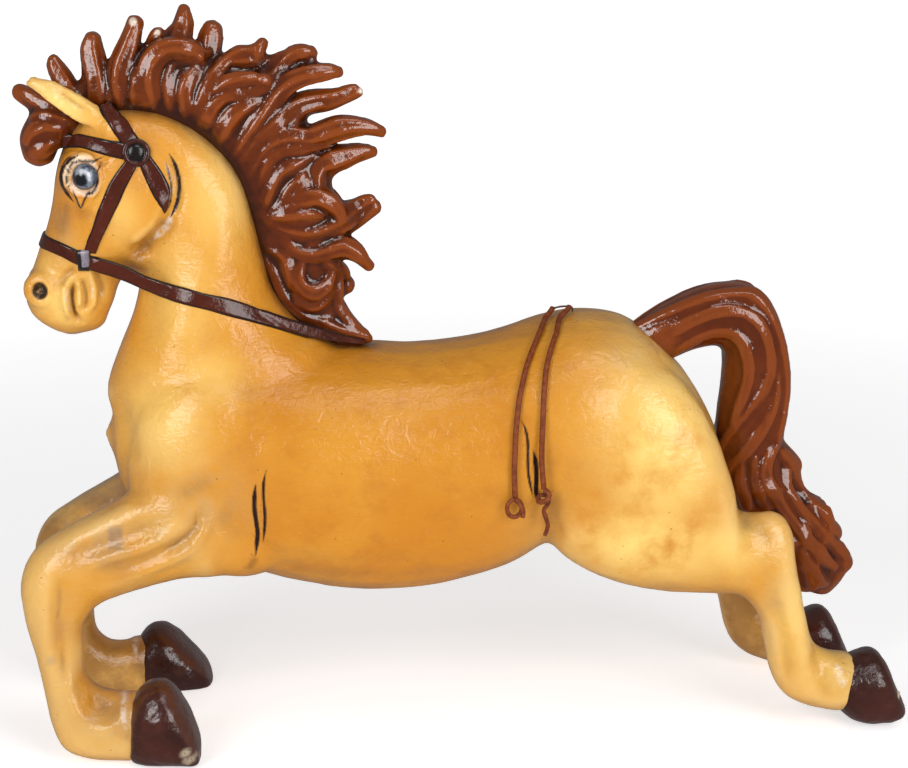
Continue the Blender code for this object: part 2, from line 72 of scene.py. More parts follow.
# Lofts: sections between two rows of a table, points round a section, how full it is (2 is an ellipse), how far the
# ends stand out as a share of their reach
LOFT_STEPS = 4
LOFT_RING = 28
FULLNESS = 2.25
POINTED = 0.5
# Strands of hair: points round one, flutes and their depth, size across as a share of that in outline
STRAND_RING = 30
FLUTES = 6
FLUTE_DEPTH = 0.09
STRAND_FLAT = 0.95
# Points across a strap, round a turned form and round a lace, how full a lace is, and half the floor in metres
STRAP_POINTS = 13
TURNED_RING = 48
LACE_RING = 14
LACE_FULLNESS = 2.6
FLOOR_HALF = 30.0

# Trunk: x, back, belly, half width
TRUNK = [
    (-42.7, 40.0, 35.0, 2.6),
    (-41.8, 43.5, 31.5, 5.6),
    (-39.5, 47.0, 28.5, 8.4),
    (-36.0, 49.0, 26.0, 10.6),
    (-31.5, 49.5, 23.8, 12.2),
    (-26.5, 49.0, 20.8, 13.2),
    (-21.5, 48.6, 19.1, 13.7),
    (-16.5, 48.4, 17.9, 13.7),
    (-11.5, 48.1, 17.4, 13.5),
    (-6.0, 47.8, 17.5, 13.2),
    (0.0, 48.3, 18.5, 13.0),
    (5.0, 49.4, 20.0, 13.0),
    (10.0, 50.9, 22.9, 13.2),
    (15.0, 51.5, 24.5, 13.3),
    (20.0, 50.6, 25.5, 12.8),
    (24.0, 47.6, 26.5, 11.4),
    (27.8, 43.3, 27.5, 8.8),
    (30.6, 38.4, 28.5, 6.0),
    (31.6, 35.0, 30.0, 3.0),
]

# Sections from edge to edge: x and z of one edge, x and z of the other, half width, y of the middle
NECK = [
    (-40.5, 36.0, -17.0, 40.0, 10.0, 0.0),
    (-43.3, 42.5, -15.5, 47.6, 9.8, 0.0),
    (-41.8, 48.0, -20.0, 51.6, 8.8, 0.0),
    (-39.7, 53.0, -22.8, 55.5, 7.7, 0.0),
    (-38.6, 58.0, -24.2, 60.5, 6.9, 0.0),
    (-38.6, 62.0, -25.2, 65.0, 6.4, 0.0),
    (-39.5, 66.0, -26.6, 69.3, 6.0, 0.0),
    (-40.0, 69.0, -29.2, 72.8, 5.7, 0.0),
    (-41.0, 70.5, -33.0, 75.8, 5.3, 0.0),
    (-43.0, 71.0, -37.4, 77.4, 5.0, 0.0),
    (-44.5, 71.5, -41.4, 77.4, 4.2, 0.0),
]
HEAD = [
    (-43.5, 76.8, -37.0, 75.5, 3.6, 0.0),
    (-45.8, 75.2, -34.0, 73.0, 5.2, 0.0),
    (-47.2, 72.3, -33.2, 69.8, 6.1, 0.0),
    (-48.1, 69.5, -33.4, 66.2, 6.4, 0.0),
    (-48.6, 66.3, -35.0, 63.0, 6.0, 0.0),
    (-49.4, 63.3, -37.6, 60.2, 5.2, 0.0),
    (-50.3, 61.0, -40.0, 58.0, 4.6, 0.0),
    (-51.2, 58.6, -41.3, 56.2, 4.3, 0.0),
    (-52.2, 56.2, -41.8, 54.6, 4.5, 0.0),
    (-52.3, 54.4, -42.3, 53.4, 4.6, 0.0),
    (-51.4, 52.5, -43.2, 52.0, 4.2, 0.0),
    (-49.2, 50.9, -45.0, 50.8, 2.8, 0.0),
]
EAR = [
    (-42.6, 73.2, -40.0, 75.4, 1.2, 3.6),
    (-44.0, 75.4, -42.2, 77.6, 1.3, 4.3),
    (-46.3, 77.2, -44.8, 79.4, 1.2, 4.9),
    (-48.8, 79.0, -47.6, 80.9, 1.0, 5.1),
    (-50.6, 80.2, -49.9, 81.3, 0.6, 5.1),
]
# The far ear stands more upright
FAR_EAR = [
    (-42.6, 73.2, -40.0, 75.4, 1.2, 3.6),
    (-43.2, 76.2, -41.0, 77.2, 1.2, 4.0),
    (-44.0, 78.6, -42.0, 79.2, 1.1, 4.2),
    (-44.6, 80.4, -43.2, 80.8, 0.8, 4.3),
    (-44.8, 81.6, -44.2, 81.8, 0.5, 4.3),
]
HIND_LEG = [
    (8.5, 38.0, 8.5, 28.0, 5.0, 6.0),
    (11.5, 44.0, 10.5, 23.4, 6.4, 6.6),
    (16.0, 47.0, 15.0, 20.2, 7.0, 6.9),
    (21.0, 47.2, 20.0, 18.4, 7.2, 7.0),
    (25.5, 44.5, 24.5, 17.6, 7.0, 7.2),
    (29.0, 39.5, 28.5, 17.4, 6.3, 7.6),
    (31.3, 33.5, 31.0, 17.4, 5.4, 8.1),
    (32.6, 28.3, 33.0, 17.4, 4.4, 8.7),
    (35.0, 27.9, 34.3, 16.4, 3.7, 9.2),
    (37.5, 28.0, 35.4, 14.9, 3.4, 9.5),
    (39.2, 25.9, 36.0, 13.0, 3.3, 9.7),
    (39.9, 21.5, 36.3, 11.5, 3.1, 9.9),
    (41.0, 15.5, 36.8, 9.6, 2.9, 10.0),
    (42.4, 11.4, 37.3, 7.4, 2.9, 9.9),
    (44.0, 9.9, 38.6, 4.8, 3.2, 9.8),
    (45.4, 9.4, 41.0, 3.0, 3.5, 9.7),
    (46.8, 9.2, 44.0, 2.1, 3.6, 9.6),
    (47.8, 9.2, 46.6, 1.7, 3.6, 9.6),
]
HIND_HOOF = [
    (46.4, 8.5, 46.2, 2.0, 3.4, 9.6),
    (48.3, 9.0, 47.4, 0.8, 4.2, 9.6),
    (50.4, 9.6, 49.4, 0.0, 4.5, 9.6),
    (51.7, 8.5, 51.2, 0.0, 4.4, 9.6),
    (52.8, 6.2, 52.5, 0.0, 4.0, 9.6),
    (53.9, 3.8, 53.5, 0.4, 3.3, 9.6),
    (54.6, 2.3, 54.2, 0.8, 2.4, 9.6),
]
FORE_LEG = [
    (-36.0, 41.0, -24.0, 29.0, 5.4, 6.6),
    (-38.5, 34.5, -29.0, 22.5, 5.4, 7.6),
    (-42.0, 31.6, -34.5, 21.9, 5.0, 7.8),
    (-45.5, 29.9, -39.5, 20.8, 4.5, 8.0),
    (-48.8, 28.2, -43.4, 19.6, 4.2, 8.1),
    (-52.1, 25.9, -45.0, 18.8, 4.1, 8.3),
    (-53.8, 22.2, -45.9, 17.8, 3.9, 8.5),
    (-53.4, 17.2, -46.7, 16.6, 3.5, 8.8),
    (-52.4, 12.8, -46.8, 13.4, 3.1, 9.1),
    (-51.7, 8.8, -46.6, 10.2, 3.1, 9.4),
    (-51.0, 4.8, -45.2, 8.6, 3.6, 9.7),
    (-49.6, 1.4, -43.6, 8.2, 3.8, 10.0),
    (-46.3, 0.1, -42.2, 8.2, 3.8, 10.4),
    (-43.0, 0.0, -40.8, 8.4, 3.6, 11.0),
    (-40.9, 0.0, -39.6, 8.8, 3.6, 11.4),
]
FORE_HOOF = [
    (-41.4, -0.1, -40.9, 8.0, 3.5, 11.6),
    (-40.4, -0.3, -39.7, 9.5, 4.2, 11.7),
    (-38.3, -0.4, -37.7, 10.2, 4.6, 11.9),
    (-36.8, -0.4, -36.0, 9.2, 4.6, 12.0),
    (-35.2, -0.4, -34.3, 6.0, 4.2, 12.0),
    (-34.1, -0.4, -33.3, 3.0, 3.4, 12.0),
    (-33.5, -0.2, -33.1, 1.4, 2.4, 12.0),
]
TAIL = [
    (20.5, 49.0, 23.5, 43.5, 2.6, 0.0),
    (23.0, 51.0, 25.6, 45.2, 3.0, 0.0),
    (26.7, 53.1, 28.4, 46.4, 3.2, 0.0),
    (29.8, 54.3, 30.2, 46.8, 3.4, 0.0),
    (32.6, 54.8, 31.4, 46.8, 3.7, 0.0),
    (35.4, 54.4, 32.2, 46.2, 4.0, 0.0),
    (37.6, 53.0, 32.4, 45.2, 4.2, 0.0),
    (39.3, 49.8, 32.4, 43.6, 4.3, 0.0),
    (40.4, 45.0, 32.3, 41.6, 4.4, 0.0),
    (40.7, 40.6, 32.0, 39.0, 4.4, 0.0),
    (40.4, 36.0, 31.8, 36.2, 4.3, 0.0),
    (40.3, 32.4, 32.2, 32.6, 4.2, 0.0),
    (41.2, 29.4, 32.8, 28.4, 4.2, 0.0),
    (42.9, 26.6, 34.4, 24.4, 4.2, 0.0),
    (45.0, 23.8, 37.0, 20.4, 4.2, 0.0),
    (47.0, 21.0, 40.2, 16.6, 3.8, 0.0),
    (48.6, 18.4, 43.0, 14.2, 3.0, 0.0),
    (49.4, 16.8, 45.8, 14.0, 2.0, 0.0),
]
MANE_ROOT = [
    (-43.4, 75.0, -45.7, 79.7, 2.0, 0.0),
    (-41.4, 74.5, -41.8, 82.0, 2.7, 0.0),
    (-37.9, 74.5, -36.8, 83.2, 3.0, 0.0),
    (-34.6, 73.6, -31.6, 82.8, 3.1, 0.0),
    (-31.4, 71.6, -26.4, 81.6, 3.1, 0.0),
    (-29.0, 68.6, -20.8, 78.6, 3.1, 0.0),
    (-27.6, 65.4, -18.0, 73.8, 3.0, 0.0),
    (-26.6, 61.8, -16.0, 68.8, 2.9, 0.0),
    (-25.6, 58.4, -15.0, 63.4, 2.8, 0.0),
    (-24.6, 54.8, -14.8, 57.8, 2.7, 0.0),
    (-22.8, 51.4, -14.6, 53.2, 2.4, 0.0),
    (-19.5, 48.8, -13.2, 50.2, 2.0, 0.0),
    (-15.0, 47.4, -11.2, 48.6, 1.2, 0.0),
]

# Locks of the mane and forelock, then of the tail: y, then x, z and half width of each point from root to tip
LOCKS = [
    (0.5, [(-45.2, 77.4, 1.6), (-46.4, 79.5, 1.2), (-47.5, 81.1, 0.9), (-48.0, 82.7, 0.7)]),
    (-0.5, [(-42.5, 77.7, 1.8), (-42.9, 80.7, 1.7), (-43.3, 83.2, 1.2), (-43.0, 85.6, 1.0)]),
    (-1.0, [(-40.0, 78.0, 1.8), (-40.3, 81.0, 1.7), (-39.2, 83.9, 1.3), (-37.9, 87.3, 1.1)]),
    (-2.0, [(-37.0, 77.6, 1.6), (-37.1, 80.6, 1.5), (-35.6, 83.1, 1.2), (-32.9, 83.7, 1.0), (-30.4, 82.8, 0.7)]),
    (1.5, [(-35.6, 80.6, 1.7), (-34.6, 83.2, 1.5), (-33.4, 85.5, 1.1), (-32.4, 88.5, 0.9)]),
    (2.0, [(-30.4, 80.1, 1.7), (-29.8, 83.1, 1.5), (-29.3, 86.4, 1.3)]),
    (0.0, [(-32.7, 77.1, 1.7), (-31.2, 79.6, 1.6), (-28.1, 81.9, 1.3), (-25.1, 82.6, 1.1), (-23.3, 84.7, 0.8)]),
    (-2.0, [(-30.4, 75.7, 1.5), (-29.6, 77.7, 1.3), (-26.3, 79.8, 1.1), (-22.9, 80.2, 0.9)]),
    (0.5, [(-27.8, 77.7, 1.7), (-24.2, 80.4, 1.5), (-20.9, 82.5, 1.1), (-17.5, 83.1, 1.0)]),
    (-0.5, [(-27.5, 72.9, 1.5), (-24.1, 76.3, 1.5), (-21.3, 79.3, 1.3), (-18.2, 80.8, 1.1), (-14.4, 80.9, 0.8)]),
    (0.5, [(-26.4, 70.6, 1.5), (-23.2, 74.1, 1.5), (-19.7, 76.6, 1.3), (-15.9, 77.2, 1.0), (-12.0, 78.6, 0.7)]),
    (-1.0, [(-25.5, 68.7, 1.2), (-23.6, 71.0, 1.3), (-20.0, 72.4, 1.3), (-16.2, 73.7, 1.3), (-12.7, 74.4, 1.0),
            (-9.5, 73.9, 0.8)]),
    (0.0, [(-24.2, 65.3, 1.7), (-20.3, 67.5, 1.7), (-17.4, 69.3, 1.6), (-14.1, 70.6, 1.1), (-10.5, 71.6, 0.8)]),
    (-1.5, [(-24.2, 64.3, 1.2), (-21.6, 66.1, 1.1), (-18.5, 66.5, 1.4), (-15.7, 65.3, 1.1), (-14.4, 63.3, 0.9)]),
    (1.0, [(-23.5, 62.1, 1.5), (-19.7, 61.3, 1.7), (-16.1, 61.9, 1.7), (-13.0, 63.3, 1.3), (-10.2, 65.0, 1.0)]),
    (-1.0, [(-24.2, 62.9, 1.0), (-21.9, 61.0, 1.1), (-18.4, 59.7, 1.2), (-14.8, 59.9, 1.2), (-12.9, 59.1, 1.0),
            (-11.2, 57.5, 0.8)]),
    (1.0, [(-23.1, 59.0, 1.7), (-20.0, 56.4, 2.0), (-16.9, 55.1, 1.7), (-13.5, 55.3, 1.1)]),
    (-0.5, [(-23.4, 58.5, 1.1), (-21.8, 54.8, 1.2), (-19.2, 52.0, 1.2), (-15.9, 50.6, 1.3), (-13.2, 49.4, 1.0),
            (-11.2, 48.6, 0.6)]),
    (-0.5, [(-44.5, 77.0, 1.6), (-47.5, 77.2, 1.9), (-50.2, 78.2, 1.4), (-52.2, 79.3, 1.0)]),
    (-0.5, [(-45.5, 76.0, 2.2), (-48.4, 75.2, 2.6), (-49.7, 73.2, 2.4), (-49.9, 70.9, 1.7)]),
]
TAIL_BASE_LOCKS = [
    (-0.5, [(38.0, 34.0, 2.0), (41.0, 31.4, 1.7), (42.4, 30.6, 1.0)]),
    (-0.5, [(43.0, 26.0, 2.2), (46.0, 22.6, 2.0), (47.8, 21.6, 1.0)]),
    (-0.3, [(44.0, 21.0, 2.4), (47.0, 18.6, 1.9), (49.6, 17.4, 0.9)]),
    (0.0, [(42.0, 19.5, 2.6), (44.6, 16.4, 2.2), (47.2, 14.8, 1.3)]),
]
LOCK_FLAT = 1.15  # how much thicker a lock is across the horse than in outline

# Rounded masses: centre x, y, z, then half sizes in x, y, z; those with y above 0 stand on both sides
MASSES = [
    (-31.0, 6.4, 36.0, 10.0, 6.6, 12.0),
    (-49.9, 2.7, 56.2, 2.5, 2.2, 2.4),
    (-45.2, 0.0, 52.6, 2.5, 3.4, 2.2),
    (-45.0, 4.4, 69.8, 2.4, 1.9, 2.2),
    (-38.6, 3.6, 66.5, 5.0, 2.9, 5.4),
    (-40.8, 4.9, 75.0, 1.8, 1.5, 1.8),
    (-27.5, 7.2, 25.6, 6.5, 4.6, 4.0),
    (-38.7, 0.0, 60.0, 2.7, 5.0, 2.3),
]
# How far the far legs stand from a mirror image of the near ones: x, y, z, reached at the given row
FAR_FORE = (-0.2, 0.0, -1.6, 4)
FAR_HIND = (-1.1, -0.4, -1.5, 10)

# Routes of the thongs, in metres, from the staple down the flank
THONG_FRONT = [
    (0.1085, -0.0030, 0.5205),
    (0.1040, -0.0105, 0.5170),
    (0.0970, -0.0195, 0.5120),
    (0.0860, -0.0500, 0.5020),
    (0.0740, -0.0740, 0.4860),
    (0.0640, -0.0925, 0.4690),
    (0.0580, -0.1050, 0.4530),
    (0.0530, -0.1145, 0.4365),
    (0.0475, -0.1280, 0.4020),
    (0.0460, -0.1325, 0.3790),
    (0.0450, -0.1350, 0.3540),
    (0.0460, -0.1355, 0.3225),
]
THONG_REAR = [
    (0.1290, -0.0030, 0.5220),
    (0.1250, -0.0105, 0.5190),
    (0.1135, -0.0270, 0.5135),
    (0.1055, -0.0575, 0.5040),
    (0.0945, -0.0830, 0.4880),
    (0.0870, -0.1000, 0.4700),
    (0.0835, -0.1120, 0.4545),
    (0.0810, -0.1200, 0.4380),
    (0.0790, -0.1295, 0.4110),
    (0.0775, -0.1345, 0.3900),
    (0.0770, -0.1375, 0.3650),
    (0.0800, -0.1375, 0.3320),
]
# Steps in metres from the laces' lower ends: the end that leaves the slip loop, and the knot with its loose tail
LOOP_TAIL = [(0.0045, -0.0035, -0.0065), (0.0092, -0.0035, -0.0145), (0.0090, -0.0025, -0.0240)]
KNOT = [
    (0, 0, 0), (0.0055, -0.003, -0.005), (0.0015, -0.0065, -0.012), (-0.0065, -0.0015, -0.014),
    (-0.0045, 0.003, -0.008), (0.0045, 0.0015, -0.009), (0.0050, -0.0015, -0.017), (0.0, 0.0, -0.026),
    (0.003, -0.001, -0.036), (0.005, 0.0, -0.046), (0.002, 0.001, -0.057),
]

# Carved strands: x, z and half width of each point from root to tip
MANE_LOCKS = [
    [(-46.1, 79.2, 0.8), (-47, 80.8, 0.8), (-47.6, 82.1, 0.7), (-47.7, 83, 0.5)],
    [(-42.6, 77.8, 1), (-42.6, 79.9, 1), (-43, 82.2, 1), (-43.2, 84.1, 1), (-42.9, 85.5, 0.8)],
    [(-41.2, 78, 0.6), (-41.7, 79.9, 0.5), (-42.2, 81.8, 0.4), (-42.9, 83.3, 0.3)],
    [(-39.9, 78, 1), (-40.2, 80.2, 1), (-39.8, 82.2, 1), (-39, 84.1, 0.9), (-38.3, 86.1, 0.8), (-38.1, 87.1, 0.6)],
    [(-38.1, 78.3, 0.8), (-37.9, 80.4, 0.8), (-37.5, 82.5, 0.7), (-37.2, 84.1, 0.5)],
    [(-36.6, 78.1, 0.9), (-36.9, 80, 1), (-36.6, 81.9, 1), (-35.6, 83.4, 1), (-34, 84, 0.9), (-32.1, 83.8, 0.9),
     (-30.5, 83.1, 0.7), (-29.4, 83, 0.5)],
    [(-34.5, 77.8, 0.7), (-34.8, 79.7, 0.7), (-34.6, 81.2, 0.7), (-33.7, 82.3, 0.6), (-32.3, 82.5, 0.6),
     (-31.2, 82.2, 0.5)],
    [(-32.5, 77, 0.8), (-32.8, 78.7, 0.8), (-32.3, 80.3, 0.8), (-31.3, 81.4, 0.7), (-30.1, 82.5, 0.5)],
    [(-31.1, 76.6, 0.7), (-30.5, 78.3, 0.7), (-29.7, 79.9, 0.7), (-28.7, 81.3, 0.7), (-27.6, 82.4, 0.6),
     (-26.4, 83.1, 0.7), (-25, 83.3, 0.7), (-23.7, 84.1, 0.5)],
    [(-27.2, 82.3, 0.6), (-25.7, 82.4, 0.6), (-24.2, 82.4, 0.6), (-23.1, 82.5, 0.5)],
    [(-29.3, 79, 0.5), (-27.7, 80, 0.7), (-26, 80.4, 0.7), (-24.3, 80.6, 0.6)],
    [(-30.5, 75.5, 0.8), (-29.5, 77.2, 0.7), (-28.2, 78.3, 0.6), (-26.6, 78.7, 0.6), (-25, 78.9, 0.6),
     (-23.5, 79.5, 0.6), (-22.2, 80.7, 0.7), (-21.2, 81.9, 0.7), (-20.1, 82.9, 0.8), (-18.8, 83.2, 0.8),
     (-17.9, 83.3, 0.5)],
    [(-28.6, 74.1, 1), (-27.4, 75.9, 1), (-25.8, 77.2, 0.9), (-24.1, 78.1, 0.7)],
    [(-26.8, 72.1, 0.8), (-25.7, 73.8, 0.9), (-24.5, 75.5, 1), (-23.3, 77.1, 1), (-22.1, 78.6, 1), (-20.6, 79.8, 0.9),
     (-18.7, 80.6, 0.9), (-16.9, 80.9, 0.9), (-15.5, 81, 0.8), (-14.8, 81, 0.5)],
    [(-26.1, 71.1, 0.6), (-25, 72.7, 0.7), (-23.7, 74.2, 0.7), (-22.1, 75.4, 0.8), (-20.7, 76.7, 0.8),
     (-18.9, 77.5, 0.8), (-16.9, 77.8, 0.8), (-15.1, 78.1, 0.7), (-13.7, 78.7, 0.6), (-12.6, 79, 0.4)],
    [(-20.4, 75, 0.5), (-19.8, 76, 0.5), (-18.5, 76.7, 0.5), (-16.7, 77.1, 0.4)],
    [(-25.2, 69.9, 0.6), (-24, 71.9, 0.7), (-22.5, 73.1, 0.8), (-20.5, 73.6, 0.9), (-18.6, 73.4, 0.9), (-17, 73.8, 1),
     (-15.1, 74.4, 1.1), (-13.1, 74.6, 1), (-11.4, 74.5, 0.8), (-10.1, 74.2, 0.5)],
    [(-25.7, 72, 0.4), (-24.6, 73.4, 0.4), (-23, 74.3, 0.4), (-21.2, 74.7, 0.4)],
    [(-24, 68.6, 0.5), (-23.6, 70, 0.6), (-22.9, 71.3, 0.6), (-21.6, 72.1, 0.6), (-19.6, 72.3, 0.7),
     (-17.8, 72.5, 0.6), (-16.1, 72.7, 0.5)],
    [(-17.7, 67.1, 0.8), (-17.8, 68.7, 0.8), (-17.2, 70, 0.9), (-15.8, 70.6, 1.1), (-14.1, 71, 1), (-12.5, 71.5, 0.8),
     (-11.1, 71.8, 0.5)],
    [(-23.5, 66.2, 0.7), (-22.9, 67.9, 0.7), (-22, 69.3, 0.7), (-20.6, 70.2, 0.7), (-19, 70.9, 0.6),
     (-17.5, 71.5, 0.5)],
    [(-21.7, 66.3, 0.6), (-20.9, 67.6, 0.6), (-19.9, 68.5, 0.6), (-19, 69.3, 0.5)],
    [(-20.1, 66.8, 0.7), (-19.3, 67.7, 0.7), (-18.6, 68.6, 0.6)],
    [(-23.1, 63.4, 0.6), (-22.4, 64.8, 0.7), (-21, 65.7, 0.9), (-19.2, 66.2, 1), (-17.6, 66.4, 1), (-16.2, 65.7, 1),
     (-15.3, 64.7, 0.9), (-14.8, 63.3, 0.7)],
    [(-23.4, 63.9, 0.6), (-22, 62.9, 0.7), (-20, 62.4, 0.8), (-18, 62.4, 0.9), (-16.1, 63, 1), (-14.4, 63.8, 1.2),
     (-12.9, 64.5, 1), (-11.6, 65.3, 0.9), (-10.8, 65.8, 0.6)],
    [(-21.7, 62, 0.5), (-20.9, 60.7, 0.6), (-19.5, 59.8, 0.7), (-17.7, 59.7, 0.8), (-16.1, 60.1, 0.9),
     (-14.5, 60.3, 0.9), (-13.3, 59.7, 0.9), (-12.4, 58.9, 0.8), (-11.7, 58.2, 0.5)],
    [(-18.3, 60.9, 0.4), (-16.6, 61.1, 0.5), (-15, 61.6, 0.5)],
    [(-22.8, 60.1, 0.5), (-21.7, 59.4, 0.6), (-21.2, 57.9, 0.7), (-21, 56.3, 0.6), (-21.1, 55.3, 0.3)],
    [(-23.6, 59, 0.5), (-22.8, 57.3, 0.6), (-22.1, 55.4, 0.6), (-21.2, 53.8, 0.6), (-19.9, 52.5, 0.6),
     (-18.2, 51.6, 0.6), (-16.6, 51.4, 0.5)],
    [(-19.7, 58.9, 0.6), (-20.1, 57.3, 0.8), (-19.7, 55.9, 0.9), (-18.4, 55.2, 1), (-17.1, 55.7, 0.9),
     (-16.3, 56.9, 0.7), (-16.2, 58.3, 0.6)],
    [(-20.6, 55.4, 0.5), (-20.1, 54.1, 0.6), (-18.9, 53.3, 0.6), (-17.6, 53.5, 0.6), (-16.5, 54.6, 0.5),
     (-16, 56, 0.5)],
    [(-15.6, 58.3, 0.5), (-15.4, 56.7, 0.5), (-15.4, 55.2, 0.6), (-15.5, 53.5, 0.6), (-14.9, 52, 0.7),
     (-13.9, 50.7, 0.7), (-12.6, 49.8, 0.5), (-11.7, 49.5, 0.3)],
    [(-16.9, 58.7, 0.7), (-15.9, 57.7, 0.8), (-14.8, 56.9, 0.8), (-14.1, 56.2, 0.6)],
    [(-17.9, 51.4, 0.6), (-16.2, 50.7, 0.6), (-14.5, 50, 0.5), (-12.9, 49.5, 0.4), (-11.6, 49.2, 0.3)],
    [(-33.3, 84.1, 0.9), (-32.9, 85.6, 0.9), (-32.6, 87, 0.8), (-32.5, 88.1, 0.6)],
    [(-34.8, 84.8, 0.5), (-34, 85.6, 0.5), (-33.2, 86.5, 0.5)],
    [(-29.9, 83.4, 1), (-29.6, 85.1, 1), (-29.3, 86.5, 0.9)],
    [(-36.2, 84.8, 0.5), (-35.6, 85.6, 0.5), (-35.2, 86, 0.3)],
    [(-24.4, 83, 0.6), (-23.9, 84, 0.6)],
    [(-22.6, 64.2, 1.0), (-20.6, 64.4, 1.3), (-18.6, 64.5, 1.4), (-16.9, 64.2, 1.1)],
]
FORELOCK_LOCKS = [
    [(-46.7, 76.8, 0.6), (-48.1, 77.4, 0.7), (-49.5, 78, 0.7), (-50.7, 78.8, 0.7), (-51.4, 79.3, 0.5)],
    [(-46.3, 75.7, 0.7), (-47.9, 76.2, 0.7), (-49.2, 76.5, 0.6), (-50.3, 75.9, 0.5)],
    [(-47, 74.8, 0.8), (-48.6, 75.1, 0.9), (-50, 74.4, 0.9), (-50.9, 73.1, 0.7)],
    [(-46.9, 73.7, 0.7), (-48.2, 73.5, 0.9), (-49.6, 72.6, 1), (-50.3, 71.7, 0.7)],
]
TAIL_LOCKS = [
    [(19.5, 47.6, 0.8), (22.2, 49.6, 0.8), (25.1, 51.2, 0.8), (27.9, 52.4, 0.9), (30.7, 53.2, 0.9), (33.2, 53.4, 0.9),
     (35.2, 53, 1.2), (36.8, 51.2, 1), (38, 48.9, 0.9), (38.8, 46.1, 0.9), (39.3, 43.1, 0.9), (39.3, 40.1, 0.9),
     (38.9, 37.1, 0.9), (38.6, 34.8, 0.7)],
    [(20.5, 46.2, 0.9), (24, 48.5, 0.9), (26.4, 49.8, 0.9), (28.8, 51, 0.9), (31.3, 51.7, 0.9), (33.5, 51.6, 0.8),
     (35.1, 50.8, 0.8), (36.3, 49.2, 0.8), (37, 47, 0.8), (37.2, 44.7, 0.8), (36.7, 42.5, 0.8), (35.5, 40.2, 0.8),
     (34.1, 37.9, 0.8), (32.9, 35.6, 0.8), (32.2, 33.1, 0.7)],
    [(22.5, 44.5, 0.7), (25.5, 46.7, 0.7), (27.3, 48, 0.8), (29.2, 49, 0.8), (31.1, 49.4, 0.8), (32.9, 49.1, 0.9),
     (34.1, 47.8, 0.9), (34.8, 45.8, 0.9), (34.9, 43.6, 0.9), (34.5, 41.5, 0.9), (33.9, 39.5, 0.9),
     (33.3, 37.3, 0.7)],
    [(38.2, 43.9, 0.6), (38.2, 41.4, 0.7), (37.6, 38.8, 0.8), (36.5, 36.6, 0.9), (35.1, 34.4, 0.9), (33.9, 32.4, 0.9),
     (33.1, 30.4, 0.8), (32.6, 28.6, 0.7)],
    [(38.6, 34.9, 0.8), (37.7, 33.5, 0.9), (37.2, 31.3, 1), (38, 29, 1), (39.4, 26.8, 1), (41.1, 24.6, 0.9),
     (42.5, 22.7, 0.8)],
    [(34.5, 32.5, 0.7), (34.5, 30.4, 0.8), (34.9, 28.5, 0.8), (35.5, 26.7, 0.7)],
    [(35.8, 33.3, 0.6), (36.1, 30.7, 0.7), (37, 28.1, 0.8), (38.1, 26.3, 0.7)],
    [(39.1, 33.6, 0.7), (40.5, 32.3, 0.8), (41.4, 30.4, 0.8), (42.5, 28.3, 0.8), (44, 26.3, 0.8), (45.6, 24.9, 0.8),
     (46.6, 23.8, 0.5)],
    [(40.1, 31.3, 0.8), (40.2, 28.9, 0.8), (41.4, 26.7, 0.9), (43.1, 24.8, 0.9), (44.7, 22.9, 0.9), (46.3, 21.1, 0.9),
     (48, 19.6, 0.8), (49.1, 18.7, 0.5)],
    [(41.8, 24.3, 0.8), (42.6, 22.5, 0.9), (44, 20.8, 0.9), (45.7, 19.1, 0.9), (47.3, 17.7, 0.7)],
    [(42.5, 21, 0.7), (43.3, 19.1, 0.9), (44.4, 17.3, 0.9), (45.8, 16, 0.9), (46.7, 15.6, 0.6)],
    [(43.4, 18.4, 0.7), (44.1, 16.6, 0.8), (44.9, 15.5, 0.6)],
]

